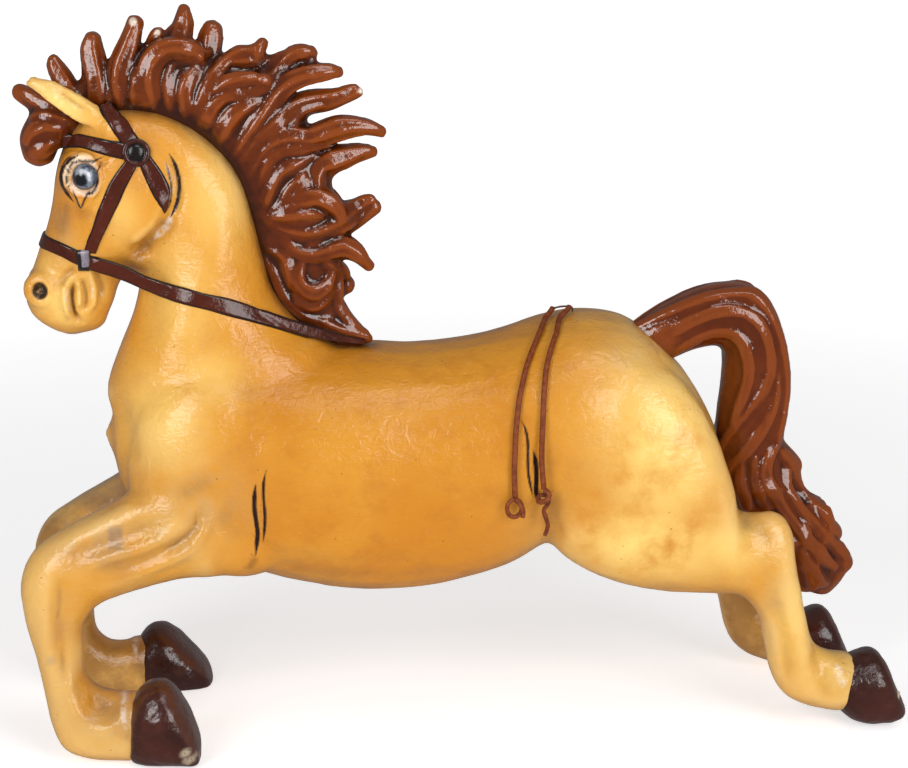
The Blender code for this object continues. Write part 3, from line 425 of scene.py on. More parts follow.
# Relief on the cast: line in the side view, half width, height
HEAD_CARVING = {
    "mouth_slit": ([(-46.2, 57.2), (-46.5, 56.1), (-46.5, 54.8), (-46.3, 53.4), (-45.6, 52.4)], 0.38, -0.75),
    "lip_fold": ([(-47.1, 57.7), (-47.4, 56.1), (-47.2, 54.3), (-46.5, 52.9)], 0.5, 0.42),
    "fold_2": ([(-45.5, 57.7), (-45.0, 56.4), (-44.9, 54.9), (-45.3, 53.9)], 0.38, -0.42),
    "ridge_2": ([(-45.7, 56.8), (-45.7, 55.5), (-45.9, 54.2)], 0.35, 0.36),
    "fold_3": ([(-43.9, 59.1), (-43.4, 57.7), (-43.1, 56.3), (-43.4, 55.1)], 0.45, -0.32),
    "ridge_3": ([(-44.3, 58.5), (-44.0, 56.9), (-44.1, 55.1), (-44.7, 53.7)], 0.5, 0.34),
    "nose_fold": ([(-45.9, 59.0), (-47.1, 58.1), (-47.8, 56.8)], 0.5, -0.34),
    "nose_plane": ([(-46.8, 67.0), (-47.3, 65.0), (-48.1, 62.6)], 0.9, -0.2),
    "brow_ridge": ([(-46.5, 67.9), (-46.8, 69.9), (-46.3, 71.5), (-44.8, 72.4), (-43.0, 72.0)], 0.5, 0.25),
    "upper_lid": ([(-46.1, 69.0), (-46.0, 70.6), (-45.0, 71.7), (-43.5, 71.8), (-42.6, 70.8)], 0.35, 0.3),
    "lower_lid": ([(-45.7, 68.3), (-44.9, 66.8), (-44.6, 66.2), (-43.5, 67.5), (-42.7, 68.8)], 0.4, 0.22),
    "eye_corner": ([(-42.8, 70.8), (-42.0, 71.5), (-41.5, 71.7)], 0.3, -0.15),
    "cheekbone": ([(-42.4, 67.0), (-43.7, 63.7), (-44.3, 61.4)], 1.2, 0.15),
    "jowl_crease": ([(-34.6, 65.4), (-35.8, 63.4), (-37.3, 62.0), (-38.5, 60.9), (-39.5, 59.7)], 0.8, -0.5),
    "jowl_upper_crease": ([(-34.9, 71.8), (-33.9, 69.5), (-33.8, 67.1), (-34.7, 65.3)], 0.6, -0.25),
    "jowl_edge": ([(-35.8, 68.3), (-35.9, 66.0), (-37.1, 63.9), (-38.7, 62.6), (-39.9, 61.2)], 1.1, 0.22),
    "ear_ridge": ([(-42.8, 75.4), (-45.2, 76.8), (-47.6, 78.7), (-49.2, 79.9)], 0.28, 0.25),
    "ear_hollow": ([(-43.4, 77.0), (-45.4, 78.5), (-47.3, 79.9)], 0.5, -0.25),
    "neck_hollow": ([(-36.1, 59.8), (-37.2, 55.3), (-38.1, 49.9)], 1.8, -0.25),
    "neck_muscle": ([(-28.3, 69.4), (-28.8, 63.6), (-31.6, 56.6), (-35.3, 49.5)], 2.4, 0.2),
    "chest_dent": ([(-41.5, 43.9), (-40.9, 40.3), (-40.2, 36.3)], 1.5, -0.25),
    "rump_dent": ([(14.7, 48.3), (17.2, 42.1), (16.4, 36.0)], 2.2, -0.18),
    "flank_crease": ([(9.6, 25.9), (8.7, 30.4), (8.3, 35.3), (8.5, 40.2)], 1.3, -0.22),
    "shoulder_crease": ([(-25.2, 25.0), (-25.6, 30.0), (-25.5, 34.9)], 1, -0.15),
}
FORE_CARVING = {
    "forearm_ridge": ([(-45.5, 25.1), (-42.9, 26.0), (-40.0, 26.8), (-37.3, 27.8), (-34.9, 29.4)], 0.55, 0.3),
    "forearm_upper_hollow": ([(-48.0, 26.3), (-44.2, 27.5), (-40.5, 28.8), (-37.2, 30.4)], 1, -0.28),
    "forearm_top_ridge": ([(-48.9, 27.2), (-45.4, 28.6), (-41.6, 30.7), (-38.1, 31.9)], 0.8, 0.2),
    "forearm_lower_hollow": ([(-44.3, 24.3), (-40.8, 25.0), (-38.0, 26.1), (-35.9, 27.3)], 0.8, -0.32),
    "elbow_ridge": ([(-40.7, 23.6), (-37.1, 25.1), (-34.1, 26.5), (-32.0, 28.8), (-30.9, 31.3)], 0.55, 0.3),
    "elbow_crevice": ([(-37.1, 26.5), (-34.7, 27.9), (-33.0, 29.4), (-32.4, 31.8)], 0.45, -0.4),
    "elbow_hollow": ([(-35.0, 32.9), (-32.6, 34.3), (-30.6, 35.0)], 1.2, -0.25),
    "elbow_back": ([(-30.8, 28.0), (-29.7, 31.1), (-29.2, 34.1)], 1, -0.15),
    "cannon_edge": ([(-48.8, 23.6), (-49.2, 20.3), (-49.3, 15.9), (-48.9, 10.8)], 0.4, -0.16),
    "cannon_front": ([(-50.6, 24.1), (-50.8, 19.7), (-50.6, 14.7), (-49.8, 8.3)], 0.8, 0.15),
    "fetlock_ridge": ([(-48.5, 12.2), (-48.3, 9.4), (-47.7, 7.2), (-46.1, 5.7)], 0.45, 0.25),
    "fetlock_hollow": ([(-46.2, 8.5), (-44.4, 7.4), (-42.9, 7.9)], 1.2, -0.4),
    "fetlock_rim": ([(-46.1, 5.1), (-43.8, 5.4), (-42.3, 6.8), (-41.8, 8.3)], 0.6, 0.2),
    "pastern_bump": ([(-44.0, 4.0), (-42.8, 4.2)], 1.2, 0.15),
}
HIND_CARVING = {
    "hock_hollow": ([(32.4, 28.0), (34.7, 26.6), (36.0, 24.6)], 1.2, -0.15),
    "hind_cannon_groove": ([(36.0, 18.8), (37.7, 14.9), (38.6, 10.9), (39.0, 6.1)], 0.65, -0.3),
    "hind_cannon_ridge": ([(38.9, 20.7), (40.1, 16.1), (40.9, 11.5), (41.5, 7.8)], 0.8, 0.2),
    "pastern_hollow": ([(41.9, 10.8), (43.3, 7.8), (43.7, 4.8)], 0.7, -0.22),
    "pastern_bulge": ([(45.0, 9.0), (45.7, 5.9)], 1, 0.15),
}

# Bridle: both edges of each strap as x, z and distance from the middle plane
STRAPS = {
    "crown_strap": (
        [(-42.6, 77.6, 4.4), (-42.14, 76.91, 5.17), (-41.23, 75.65, 6.01), (-40.36, 74.2, 6.05), (-39.58, 72.78, 5.6)],
        [(-41.1, 78.1, 2.9), (-40.62, 77.41, 3.6), (-39.57, 76.36, 4.63), (-38.56, 74.88, 5.05), (-37.68, 73.54, 5.19)],
    ),
    "browband": (
        [(-46.78, 74.24, 2.77), (-45.93, 74.36, 2.91), (-44.84, 74.47, 3.59), (-43.53, 74.32, 4.69),
         (-41.83, 74.08, 5.72), (-40.2, 73.82, 5.84), (-38.78, 73.32, 5.39)],
        [(-47.1, 72.65, 2.31), (-46.22, 72.77, 3.1), (-45.28, 72.87, 4.11), (-44.03, 72.73, 4.93),
         (-42.65, 72.42, 5.54), (-41.5, 72.1, 5.76), (-39.87, 71.72, 5.85)],
    ),
    "throat_strap": (
        [(-38.38, 71.63, 5.69), (-37.96, 70.8, 5.77), (-37.39, 69.35, 5.93), (-36.73, 67.79, 6.06),
         (-36.07, 66.58, 6.06), (-35.49, 65.5, 5.91)],
        [(-37.0, 72.71, 5.3), (-36.69, 71.98, 5.39), (-35.82, 70.74, 5.54), (-35.12, 69.49, 5.67),
         (-34.66, 68.02, 5.8), (-35.2, 65.61, 5.9)],
    ),
    "cheek_strap": (
        [(-39.26, 72.22, 5.68), (-39.56, 71.67, 5.83), (-40.52, 70.48, 6.18), (-41.51, 69.05, 6.25),
         (-42.19, 67.58, 6.17), (-43.01, 65.66, 5.9), (-43.64, 63.91, 5.55), (-44.27, 62.5, 5.2),
         (-44.82, 61.04, 4.86)],
        [(-37.7, 71.83, 5.55), (-38.15, 71.12, 5.76), (-38.91, 69.81, 6.06), (-39.67, 68.41, 6.3),
         (-40.36, 66.94, 6.29), (-41.16, 65.46, 6.12), (-41.97, 63.91, 5.73), (-42.78, 62.37, 5.33),
         (-43.46, 60.68, 4.99)],
    ),
}
NOSEBAND = (
    [(-44.61, 60.68, 4.89), (-45.79, 61.27, 4.75), (-47.06, 61.84, 4.26), (-48.37, 62.24, 3.38), (-49.4, 62.5, 1.9),
     (-49.8, 62.6, 0.0)],
    [(-44.94, 58.88, 4.65), (-46.12, 59.51, 4.49), (-47.35, 60.22, 4.19), (-48.87, 60.73, 3.3), (-50.0, 60.9, 1.9),
     (-50.5, 61.0, 0.0)],
)
REIN_EDGES = (
    [(-44.38, 60.46, 4.96), (-43.64, 60.31, 5.05), (-41.7, 59.8, 5.1), (-39.82, 59.08, 5.3), (-37.98, 58.21, 5.7),
     (-35.44, 57.4, 6.35), (-33.36, 56.94, 6.96), (-30.85, 56.21, 7.31), (-28.36, 55.57, 7.11), (-24.71, 54.1, 6.2),
     (-21.18, 52.51, 5.2), (-17.85, 51.16, 3.9), (-14.61, 49.72, 2.4), (-12.2, 48.9, 1.4)],
    [(-44.59, 58.88, 4.7), (-43.95, 58.63, 4.8), (-42.0, 58.0, 4.9), (-40.1, 57.3, 5.1), (-38.17, 56.45, 5.5),
     (-35.52, 55.47, 6.4), (-33.42, 54.95, 7.29), (-30.91, 54.33, 7.64), (-28.42, 53.52, 7.65), (-24.76, 52.3, 6.88),
     (-21.25, 51.0, 5.6), (-17.91, 49.75, 4.2), (-14.63, 48.9, 2.6), (-12.2, 48.3, 1.5)],
)
BUCKLE = (
    [(-45.75, 61.15, 4.78), (-45.7, 59.9, 4.7), (-45.66, 58.61, 4.42)],
    [(-44.1, 61.3, 5.0), (-44.1, 60.0, 4.9), (-44.27, 58.61, 4.57)],
)
# Conchos where the straps cross: x, z, y, then distance from the axis and height in metres, and painted edge
CONCHO = (-38.35, 72.45, 5.6)
CONCHO_PROFILE = [
    (0.0, -0.004, 1), (0.0150, -0.004, 1), (0.0163, 0.0010, 1), (0.0164, 0.0030, 0.9), (0.0156, 0.0046, 0.5),
    (0.0140, 0.0052, 0.35), (0.0118, 0.0050, 0.4), (0.0104, 0.0040, 0.8), (0.0098, 0.0030, 1), (0.0092, 0.0036, 1),
    (0.0075, 0.0046, 1), (0.0045, 0.0052, 0.9), (0.0, 0.0054, 0.9),
]
# Eyes: x, z, y and radius of the ball
EYE = (-44.35, 69.8, 5.9)
EYE_BALL = 2.1
# Where the cast gets smaller faces: x, z, radius
HEAD_AREA = (-45.0, 62.0, 17.0)
FACE_AREAS = [(-44.35, 69.8, 2.6), (-50.2, 56.3, 1.5), (-45.5, 55.5, 2.6)]
# Chips of the lacquer on the hair as x, z, size, and on the hooves as x, y, z, size
HAIR_CHIPS = [(-38.3, 87.0, 0.55), (-12.1, 78.7, 0.5), (-35.6, 85.7, 0.4)]
FORE_CHIPS = [(-35.1, -15.3, 2.7, 1.2), (-34.7, -14.8, 1.8, 1.4), (-34.3, -14.0, 1.4, 1.3)]
HIND_CHIPS = [(54.3, -11.0, 1.2, 1.5), (53.2, -12.6, 4.6, 0.7)]

# Black brush strokes, then pale ones, of which those along the lips are painted highlights on ridges: half width in the
# middle, line in the side view
HEAD_STROKES = [
    (0.23, [(-34.63, 72.27), (-34.04, 71.14), (-33.67, 69.69), (-33.63, 68.02), (-33.99, 66.35), (-34.77, 64.88)]),
    (0.12, [(-35.06, 71.3), (-34.71, 69.91), (-34.5, 68.44), (-34.64, 66.98), (-35.0, 65.8)]),
    (0.25, [(-44.85, 72.3), (-46.11, 71.61), (-46.75, 70.63), (-46.91, 69.38), (-46.51, 67.93), (-45.7, 66.84)]),
    (0.15, [(-46.0, 68.26), (-46.2, 69.69), (-45.72, 71.14), (-44.73, 71.7), (-43.4, 71.6), (-42.0, 72.05)]),
    (0.09, [(-42.55, 71.7), (-42.34, 71.3), (-42.83, 70.3), (-42.9, 69.2)]),
    (0.11, [(-45.75, 68.5), (-45.3, 67.3), (-44.86, 66.3), (-44.4, 67.2), (-43.7, 68.3)]),
    (0.16, [(-44.3, 67.9), (-43.4, 68.1), (-42.9, 68.9), (-42.7, 69.8)]),
]
BODY_STROKES = [
    (0.27, [(-25.69, 34.8), (-25.86, 34.0), (-25.98, 32.0), (-25.83, 30.05), (-25.68, 28.3), (-25.92, 25.9),
            (-26.03, 25.3)]),
    (0.18, [(-24.5, 36.4), (-24.85, 34.8), (-24.87, 33.0), (-24.78, 31.0), (-24.85, 29.1), (-25.05, 27.2)]),
    (0.17, [(5.4, 41.3), (5.86, 40.4), (6.15, 38.9), (6.17, 37.0), (6.22, 35.1), (6.5, 33.5), (6.84, 31.9)]),
    (0.30, [(6.82, 37.65), (7.12, 36.2), (7.22, 34.6), (7.2, 33.0), (7.42, 31.2)]),
]
PALE_STROKES = [
    (0.38, [(-34.56, 65.3), (-35.01, 64.02), (-35.88, 63.14), (-36.67, 62.35)]),
    (0.30, [(-41.9, 9.5), (-42.1, 7.2), (-41.8, 5.2)]),
    (0.40, [(45.0, 8.8), (45.5, 7.4), (45.6, 6.0)]),
    (0.16, [(-47.0, 56.8), (-47.1, 55.4), (-46.8, 54.0)]),
    (0.14, [(-44.4, 57.6), (-44.1, 56.4), (-44.2, 55.2)]),
]
# Where the paint is pale, partly worn and partly a painted sheen where highlights fall, dusty, in painted shade, or
# free of brown film: x, z, half width, half height, share
PALE_WEAR_AND_SHEEN_SPOTS = [
    (22.5, 38.0, 7.5, 11.0, 1.0), (21.0, 25.5, 11.0, 6.0, 1.0), (30.5, 25.5, 6.0, 4.0, 0.8),
    (39.5, 16.0, 3.5, 8.0, 0.65), (44.6, 8.0, 4.0, 4.5, 0.6), (-50.8, 21.0, 4.0, 6.0, 0.3),
    (-49.8, 11.0, 3.0, 7.0, 0.25), (-36.5, 41.5, 5.0, 6.5, 0.65), (-31.0, 47.0, 4.5, 3.5, 0.5),
    (-29.5, 67.0, 4.0, 6.0, 0.55), (-34.0, 55.5, 4.5, 8.0, 0.5), (-47.8, 56.0, 5.0, 5.0, 0.85),
    (-40.4, 65.4, 2.5, 4.0, 0.45), (-46.5, 78.3, 5.0, 3.0, 0.9), (-44.5, 29.5, 8.0, 2.5, 0.25),
    (-36.0, 29.0, 8.0, 7.0, 0.3), (-44.5, 3.5, 6.0, 3.5, 0.25),
]
# Dust, except the spot beside the nose at x -47.3, which is painted shade
DUST_AND_SHADE_SPOTS = [
    (-44.6, 27.6, 6.0, 3.2, 0.85), (-36.0, 29.5, 5.0, 3.5, 0.5), (-32.2, 33.0, 5.0, 4.5, 0.6),
    (-43.5, 6.0, 4.5, 4.5, 0.8), (-48.6, 9.0, 3.0, 6.0, 0.4), (-49.0, 17.0, 3.0, 6.0, 0.3),
    (21.0, 48.5, 4.5, 2.8, 0.7), (36.8, 14.0, 2.0, 8.0, 0.5), (47.0, 6.0, 3.0, 4.0, 0.5),
    (-39.0, 73.0, 5.0, 3.0, 0.2), (-47.3, 63.5, 1.4, 4.0, 0.5), (32.5, 28.0, 3.0, 2.5, 0.3),
]
SHADED_SPOTS = [(-39.4, 59.4, 1.7, 1.3, 0.8), (-44.3, 65.6, 1.0, 0.8, 0.35)]
CLEAN_SPOTS = [(-27.0, 24.0, 3.0, 3.0, 1.0)]
# Painted shade with some brown dirt in the folds and creases: half width, share, line in the side view
FOLD_SHADE_AND_DIRT = [
    (0.18, 0.8, HEAD_CARVING["mouth_slit"][0]), (0.15, 0.5, HEAD_CARVING["fold_2"][0]),
    (0.3, 0.35, HEAD_CARVING["fold_3"][0]), (0.35, 0.45, HEAD_CARVING["nose_fold"][0]),
    (0.9, 0.35, HEAD_CARVING["nose_plane"][0]), (0.9, 0.45, HEAD_CARVING["jowl_crease"][0]),
    (0.5, 0.25, HEAD_CARVING["jowl_upper_crease"][0]), (0.22, 0.5, HEAD_CARVING["ear_hollow"][0]),
    (0.3, 0.55, FORE_CARVING["elbow_crevice"][0]), (0.6, 0.22, FORE_CARVING["forearm_upper_hollow"][0]),
    (0.6, 0.22, FORE_CARVING["forearm_lower_hollow"][0]), (1.0, 0.22, FORE_CARVING["elbow_hollow"][0]),
    (0.25, 0.4, FORE_CARVING["cannon_edge"][0]), (0.7, 0.4, FORE_CARVING["fetlock_hollow"][0]),
    (0.6, 0.15, HIND_CARVING["hind_cannon_groove"][0]), (0.6, 0.15, HIND_CARVING["pastern_hollow"][0]),
    (0.9, 0.25, HIND_CARVING["hock_hollow"][0]), (0.16, 0.8, [(21.9, 48.6), (22.6, 48.0), (22.9, 47.2)]),
    (0.9, 0.35, [(9.8, 25.2), (9.0, 28.5), (8.6, 32.5)]), (0.12, 0.7, [(24.8, 47.0), (25.6, 46.0), (26.2, 44.8)]),
    (0.5, 0.3, [(-41.5, 5.0), (-41.0, 1.8)]), (0.4, 0.6, [(-25.9, 25.3), (-26.5, 24.2), (-27.2, 23.4)]),
]


# Curves and sections -----------------------------------------------------------------------------------------------


def between(rows, steps):
    """Rows with further rows on a smooth curve through them."""
    result = []
    for i in range(len(rows) - 1):
        before, start, end, after = (rows[min(max(i + k, 0), len(rows) - 1)] for k in (-1, 0, 1, 2))
        for step in range(steps):
            t = step / steps
            result.append(
                tuple(
                    0.5 * (2 * b + (c - a) * t + (2 * a - 5 * b + 4 * c - d) * t * t + (3 * b - a - 3 * c + d) * t**3)
                    for a, b, c, d in zip(before, start, end, after)
                )
            )
    result.append(rows[-1])
    return result


def turns(count):
    return [2 * math.pi * i / count for i in range(count)]


def full(value, fullness):
    """A cosine or sine, made fuller."""
    return math.copysign(abs(value) ** (2.0 / fullness), value)


def section(row, side):
    """Middle of a section, and its half axes in the side view and across."""
    ax, az, bx, bz, half, y = row
    first, last = Vector((ax, side * y, az)) * UNIT, Vector((bx, side * y, bz)) * UNIT
    return (first + last) / 2, (first - last) / 2, Vector((0, side * half * UNIT, 0))


def add_skin(mesh, rings, middles, end_reach):
    """Faces over rings of points, with one more point beyond each end ring."""
    for one, two in zip(rings, rings[1:]):
        for i in range(len(one)):
            j = (i + 1) % len(one)
            mesh.faces.new((one[i], one[j], two[j], two[i]))
    for ring, middle, inner in ((rings[0], middles[0], middles[1]), (rings[-1], middles[-1], middles[-2])):
        reach = end_reach([(vert.co - middle).length for vert in ring])
        point = mesh.verts.new(middle + (middle - inner).normalized() * reach * POINTED)
        for i in range(len(ring)):
            mesh.faces.new((ring[i], ring[(i + 1) % len(ring)], point))


def add_loft(mesh, rows, side=1, fullness=FULLNESS):
    """A closed skin through sections, each from edge to edge of its row."""
    rings, middles = [], []
    for row in between(rows, LOFT_STEPS):
        middle, reach, across = section(row, side)
        middles.append(middle)
        ring = []
        for turn in turns(LOFT_RING):
            along, aside = full(math.cos(turn), fullness), full(math.sin(turn), fullness)
            ring.append(mesh.verts.new(middle + reach * along + across * aside))
        rings.append(ring)
    add_skin(mesh, rings, middles, min)


def add_strand(mesh, rows, side, number):
    """A strand of hair with low flutes that run along it and wander."""
    rings, middles = [], []
    for i, row in enumerate(between(rows, 2)):
        middle, reach, across = section(row, side)
        middles.append(middle)
        ring = []
        for turn in turns(STRAND_RING):
            swell = 1 + FLUTE_DEPTH * math.cos(FLUTES * turn + number * 1.7 + 0.25 * math.sin(i * 0.35 + number))
            ring.append(mesh.verts.new(middle + (reach * math.cos(turn) + across * math.sin(turn)) * swell))
        rings.append(ring)
    add_skin(mesh, rings, middles, lambda reaches: reaches[0])


def add_mass(mesh, centre, half, side):
    ball = bmesh.ops.create_uvsphere(mesh, u_segments=32, v_segments=20, radius=UNIT)
    for vert in ball["verts"]:
        vert.co.x = vert.co.x * half[0] + centre[0] * UNIT
        vert.co.y = vert.co.y * half[1] + centre[1] * side * UNIT
        vert.co.z = vert.co.z * half[2] + centre[2] * UNIT


def moved(rows, shift, whole=False):
    """The rows of a far leg, moved more and more down to the given row, or all moved as one."""
    dx, dy, dz, reached = shift
    result = []
    for i, (ax, az, bx, bz, half, y) in enumerate(rows):
        share = 1.0 if whole else min(1.0, i / reached)
        share *= share * (3 - 2 * share)
        result.append((ax + dx * share, az + dz * share, bx + dx * share, bz + dz * share, half, y + dy * share))
    return result


def tilted(rows, centre, angle):
    """The rows turned about a centre in the side view, by degrees."""
    (cx, cz), turn = centre, math.radians(angle)

    def place(x, z):
        dx, dz = x - cx, z - cz
        return cx + dx * math.cos(turn) - dz * math.sin(turn), cz + dx * math.sin(turn) + dz * math.cos(turn)

    return [(*place(ax, az), *place(bx, bz), half, y) for ax, az, bx, bz, half, y in rows]


def lock_rows(points, depths, flat):
    """Sections square to a lock's line, at the given y, thicker or flatter across than in outline."""
    rows = []
    for i, ((x, z, half), y) in enumerate(zip(points, depths)):
        (x0, z0, _), (x1, z1, _) = points[max(i - 1, 0)], points[min(i + 1, len(points) - 1)]
        size = math.hypot(x1 - x0, z1 - z0)
        nx, nz = -(z1 - z0) / size * half, (x1 - x0) / size * half
        rows.append((x + nx, z + nz, x - nx, z - nz, half * flat, y))
    return rows


# Meshes ------------------------------------------------------------------------------------------------------------


def placed(name, data):
    item = bpy.data.objects.new(name, data)
    bpy.context.scene.collection.objects.link(item)
    return item


def piece(name, data, material, nodes=("horse",)):
    item = placed(name, data)
    data.materials.clear()
    data.materials.append(material)
    data.shade_smooth()
    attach(item, "root")
    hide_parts(*nodes)
    return item


def as_data(mesh, name):
    """The mesh as data of its own, with its faces turned outward."""
    bmesh.ops.recalc_face_normals(mesh, faces=mesh.faces)
    data = bpy.data.meshes.new(name)
    mesh.to_mesh(data)
    mesh.free()
    return data


def skin(name, fill, cell, passes):
    """One closed cast over the overlapping forms that fill adds."""
    mesh = bmesh.new()
    fill(mesh)
    form = as_data(mesh, name + "_form")
    item = placed(name + "_form", form)
    cast = item.modifiers.new("cast", "REMESH")
    cast.mode = "VOXEL"
    cast.voxel_size = cell
    worn = item.modifiers.new("worn", "SMOOTH")
    worn.factor = 0.5
    worn.iterations = passes
    data = bpy.data.meshes.new_from_object(item.evaluated_get(bpy.context.evaluated_depsgraph_get()))
    data.name = name
    bpy.data.objects.remove(item, do_unlink=True)
    bpy.data.meshes.remove(form)
    return data


def tree_of(data):
    return BVHTree.FromPolygons([vert.co for vert in data.vertices], [tuple(face.vertices) for face in data.polygons])


def read(data, what="co"):
    values = np.empty(len(data.vertices) * 3)
    data.vertices.foreach_get(what, values)
    return values.reshape(-1, 3)


def write(data, places):
    data.vertices.foreach_set("co", np.ascontiguousarray(places).ravel())
    data.update()


def push(data, height):
    """Moves the surface outward, in the unit of the tables."""
    write(data, read(data) + read(data, "normal") * height[:, None] * UNIT)


def on_floor(data):
    places = read(data)
    places[places[:, 2] < 0.0, 2] = 0.0
    write(data, places)


def mark(data, name, values):
    layer = data.attributes.new(name, "FLOAT", "POINT")
    layer.data.foreach_set("value", np.ascontiguousarray(values, dtype=np.float32))


def finer(data, lines, reach, areas=()):
    """Smaller faces near lines in the side view and in areas given as x, z and radius."""
    mesh = bmesh.new()
    mesh.from_mesh(data)
    mesh.faces.ensure_lookup_table()
    x, _, z = (np.array([face.calc_center_median() for face in mesh.faces]) / UNIT).T
    near = np.full(len(x), FAR_AWAY)
    for line in lines:
        near = np.minimum(near, from_line(x, z, line)[0] - reach)
    for cx, cz, radius in areas:
        near = np.minimum(near, np.hypot(x - cx, z - cz) - radius)
    facing = np.array([abs(face.normal.y) for face in mesh.faces]) > 0.12
    edges = {edge for index in np.nonzero((near < 0) & facing)[0] for edge in mesh.faces[index].edges}
    bmesh.ops.subdivide_edges(mesh, edges=list(edges), cuts=1, use_grid_fill=True)
    bmesh.ops.triangulate(mesh, faces=[face for face in mesh.faces if len(face.verts) > 4])
    mesh.to_mesh(data)
    mesh.free()


# Shares over a surface ---------------------------------------------------------------------------------------------


def smooth_step(value, low, high):
    share = np.clip((value - low) / (high - low), 0.0, 1.0)
    return share * share * (3 - 2 * share)


def bell(away, wide):
    return np.exp(-((away / wide) ** 2))


def tapered(along, slope, least):
    """1 on most of a line, down to the least share at its ends."""
    return np.minimum(1.0, np.minimum(along, 1 - along) * slope + least)


def softened(data, values, passes):
    """Values of the vertices moved towards the mean of their neighbours."""
    edges = np.empty(len(data.edges) * 2, dtype=np.int64)
    data.edges.foreach_get("vertices", edges)
    one, two = edges[0::2], edges[1::2]
    count = np.maximum(np.bincount(edges, minlength=len(values)), 1)
    soft = values.copy()
    for _ in range(passes):
        for axis in range(values.shape[1]):
            total = np.bincount(one, soft[two, axis], len(soft)) + np.bincount(two, soft[one, axis], len(soft))
            soft[:, axis] = 0.5 * soft[:, axis] + 0.5 * total / count
    return soft


def hollowness(data, passes, full_at):
    """1 in hollows of the full depth in metres, -1 on ridges; more passes see wider ones."""
    places = read(data)
    depth = ((softened(data, places, passes) - places) * read(data, "normal")).sum(axis=1)
    return np.clip(depth / full_at, -1.0, 1.0)


def unevenness(places, scale, seed, octaves=2):
    shift = Vector((seed * 3.1, seed * 7.7, seed * 1.3))
    return np.array([noise.fractal(Vector(place) * scale + shift, 1.0, 2.0, octaves) for place in places])


def closeness(places, chosen, tree, reach, fade):
    """1 where a chosen place lies on the other form, 0 away from it."""
    share = np.zeros(len(places))
    for index in np.nonzero(chosen)[0]:
        gap = tree.find_nearest(Vector(places[index]), reach)[3]
        if gap is not None:
            share[index] = math.exp(-((gap / fade) ** 2))
    return share


def from_line(x, z, line):
    """Distance to a line in the side view, and the share of the way along it."""
    line = between(line, 3) if len(line) > 2 else line
    lengths = [0.0]
    for (ax, az), (bx, bz) in zip(line, line[1:]):
        lengths.append(lengths[-1] + math.hypot(bx - ax, bz - az))
    near, along = np.full(len(x), FAR_AWAY), np.zeros(len(x))
    for i, ((ax, az), (bx, bz)) in enumerate(zip(line, line[1:])):
        dx, dz = bx - ax, bz - az
        share = np.clip(((x - ax) * dx + (z - az) * dz) / max(dx * dx + dz * dz, 1e-9), 0, 1)
        away = np.hypot(x - ax - share * dx, z - az - share * dz)
        closer = away < near
        near = np.where(closer, away, near)
        along = np.where(closer, (lengths[i] + share * (lengths[i + 1] - lengths[i])) / lengths[-1], along)
    return near, along


def stroke_mask(x, z, strokes, soft):
    """1 inside brush strokes that run out at both ends."""
    mask = np.zeros(len(x))
    for half, line in strokes:
        near, along = from_line(x, z, line)
        mask = np.maximum(mask, smooth_step(half * tapered(along, 5, 0.12) - near, -soft, soft))
    return mask


def soft_lines(x, z, lines):
    """Share of the strongest of soft lines: half width, share, line."""
    mask = np.zeros(len(x))
    for wide, weight, line in lines:
        near, along = from_line(x, z, line)
        mask = np.maximum(mask, weight * tapered(along, 4, 0.15) * bell(near, wide))
    return mask


def soft_spots(x, z, spots):
    """Share of the strongest of soft spots: x, z, half width, half height, share."""
    mask = np.zeros(len(x))
    for cx, cz, wide, high, weight in spots:
        mask = np.maximum(mask, weight * np.exp(-(((x - cx) / wide) ** 2 + ((z - cz) / high) ** 2)))
    return mask


def carve(data, table, depth, spread=1.0, far_shift=(0.0, 0.0)):
    """Soft grooves and ridges along the lines of a table, on both sides; the far ones are shifted."""
    places, facing = read(data), read(data, "normal")
    move = np.zeros(len(places))
    for side in (-1, 1):
        outward = smooth_step(facing[:, 1] * side, 0.1, 0.5) * (places[:, 1] * side > 0)
        dx, dz = far_shift if side > 0 else (0.0, 0.0)
        for line, wide, height in table.values():
            near, along = from_line(places[:, 0] / UNIT - dx, places[:, 2] / UNIT - dz, line)
            move += outward * tapered(along, 4, 0.25) * height * depth * bell(near, wide * spread)
    push(data, move)


# Materials ---------------------------------------------------------------------------------------------------------


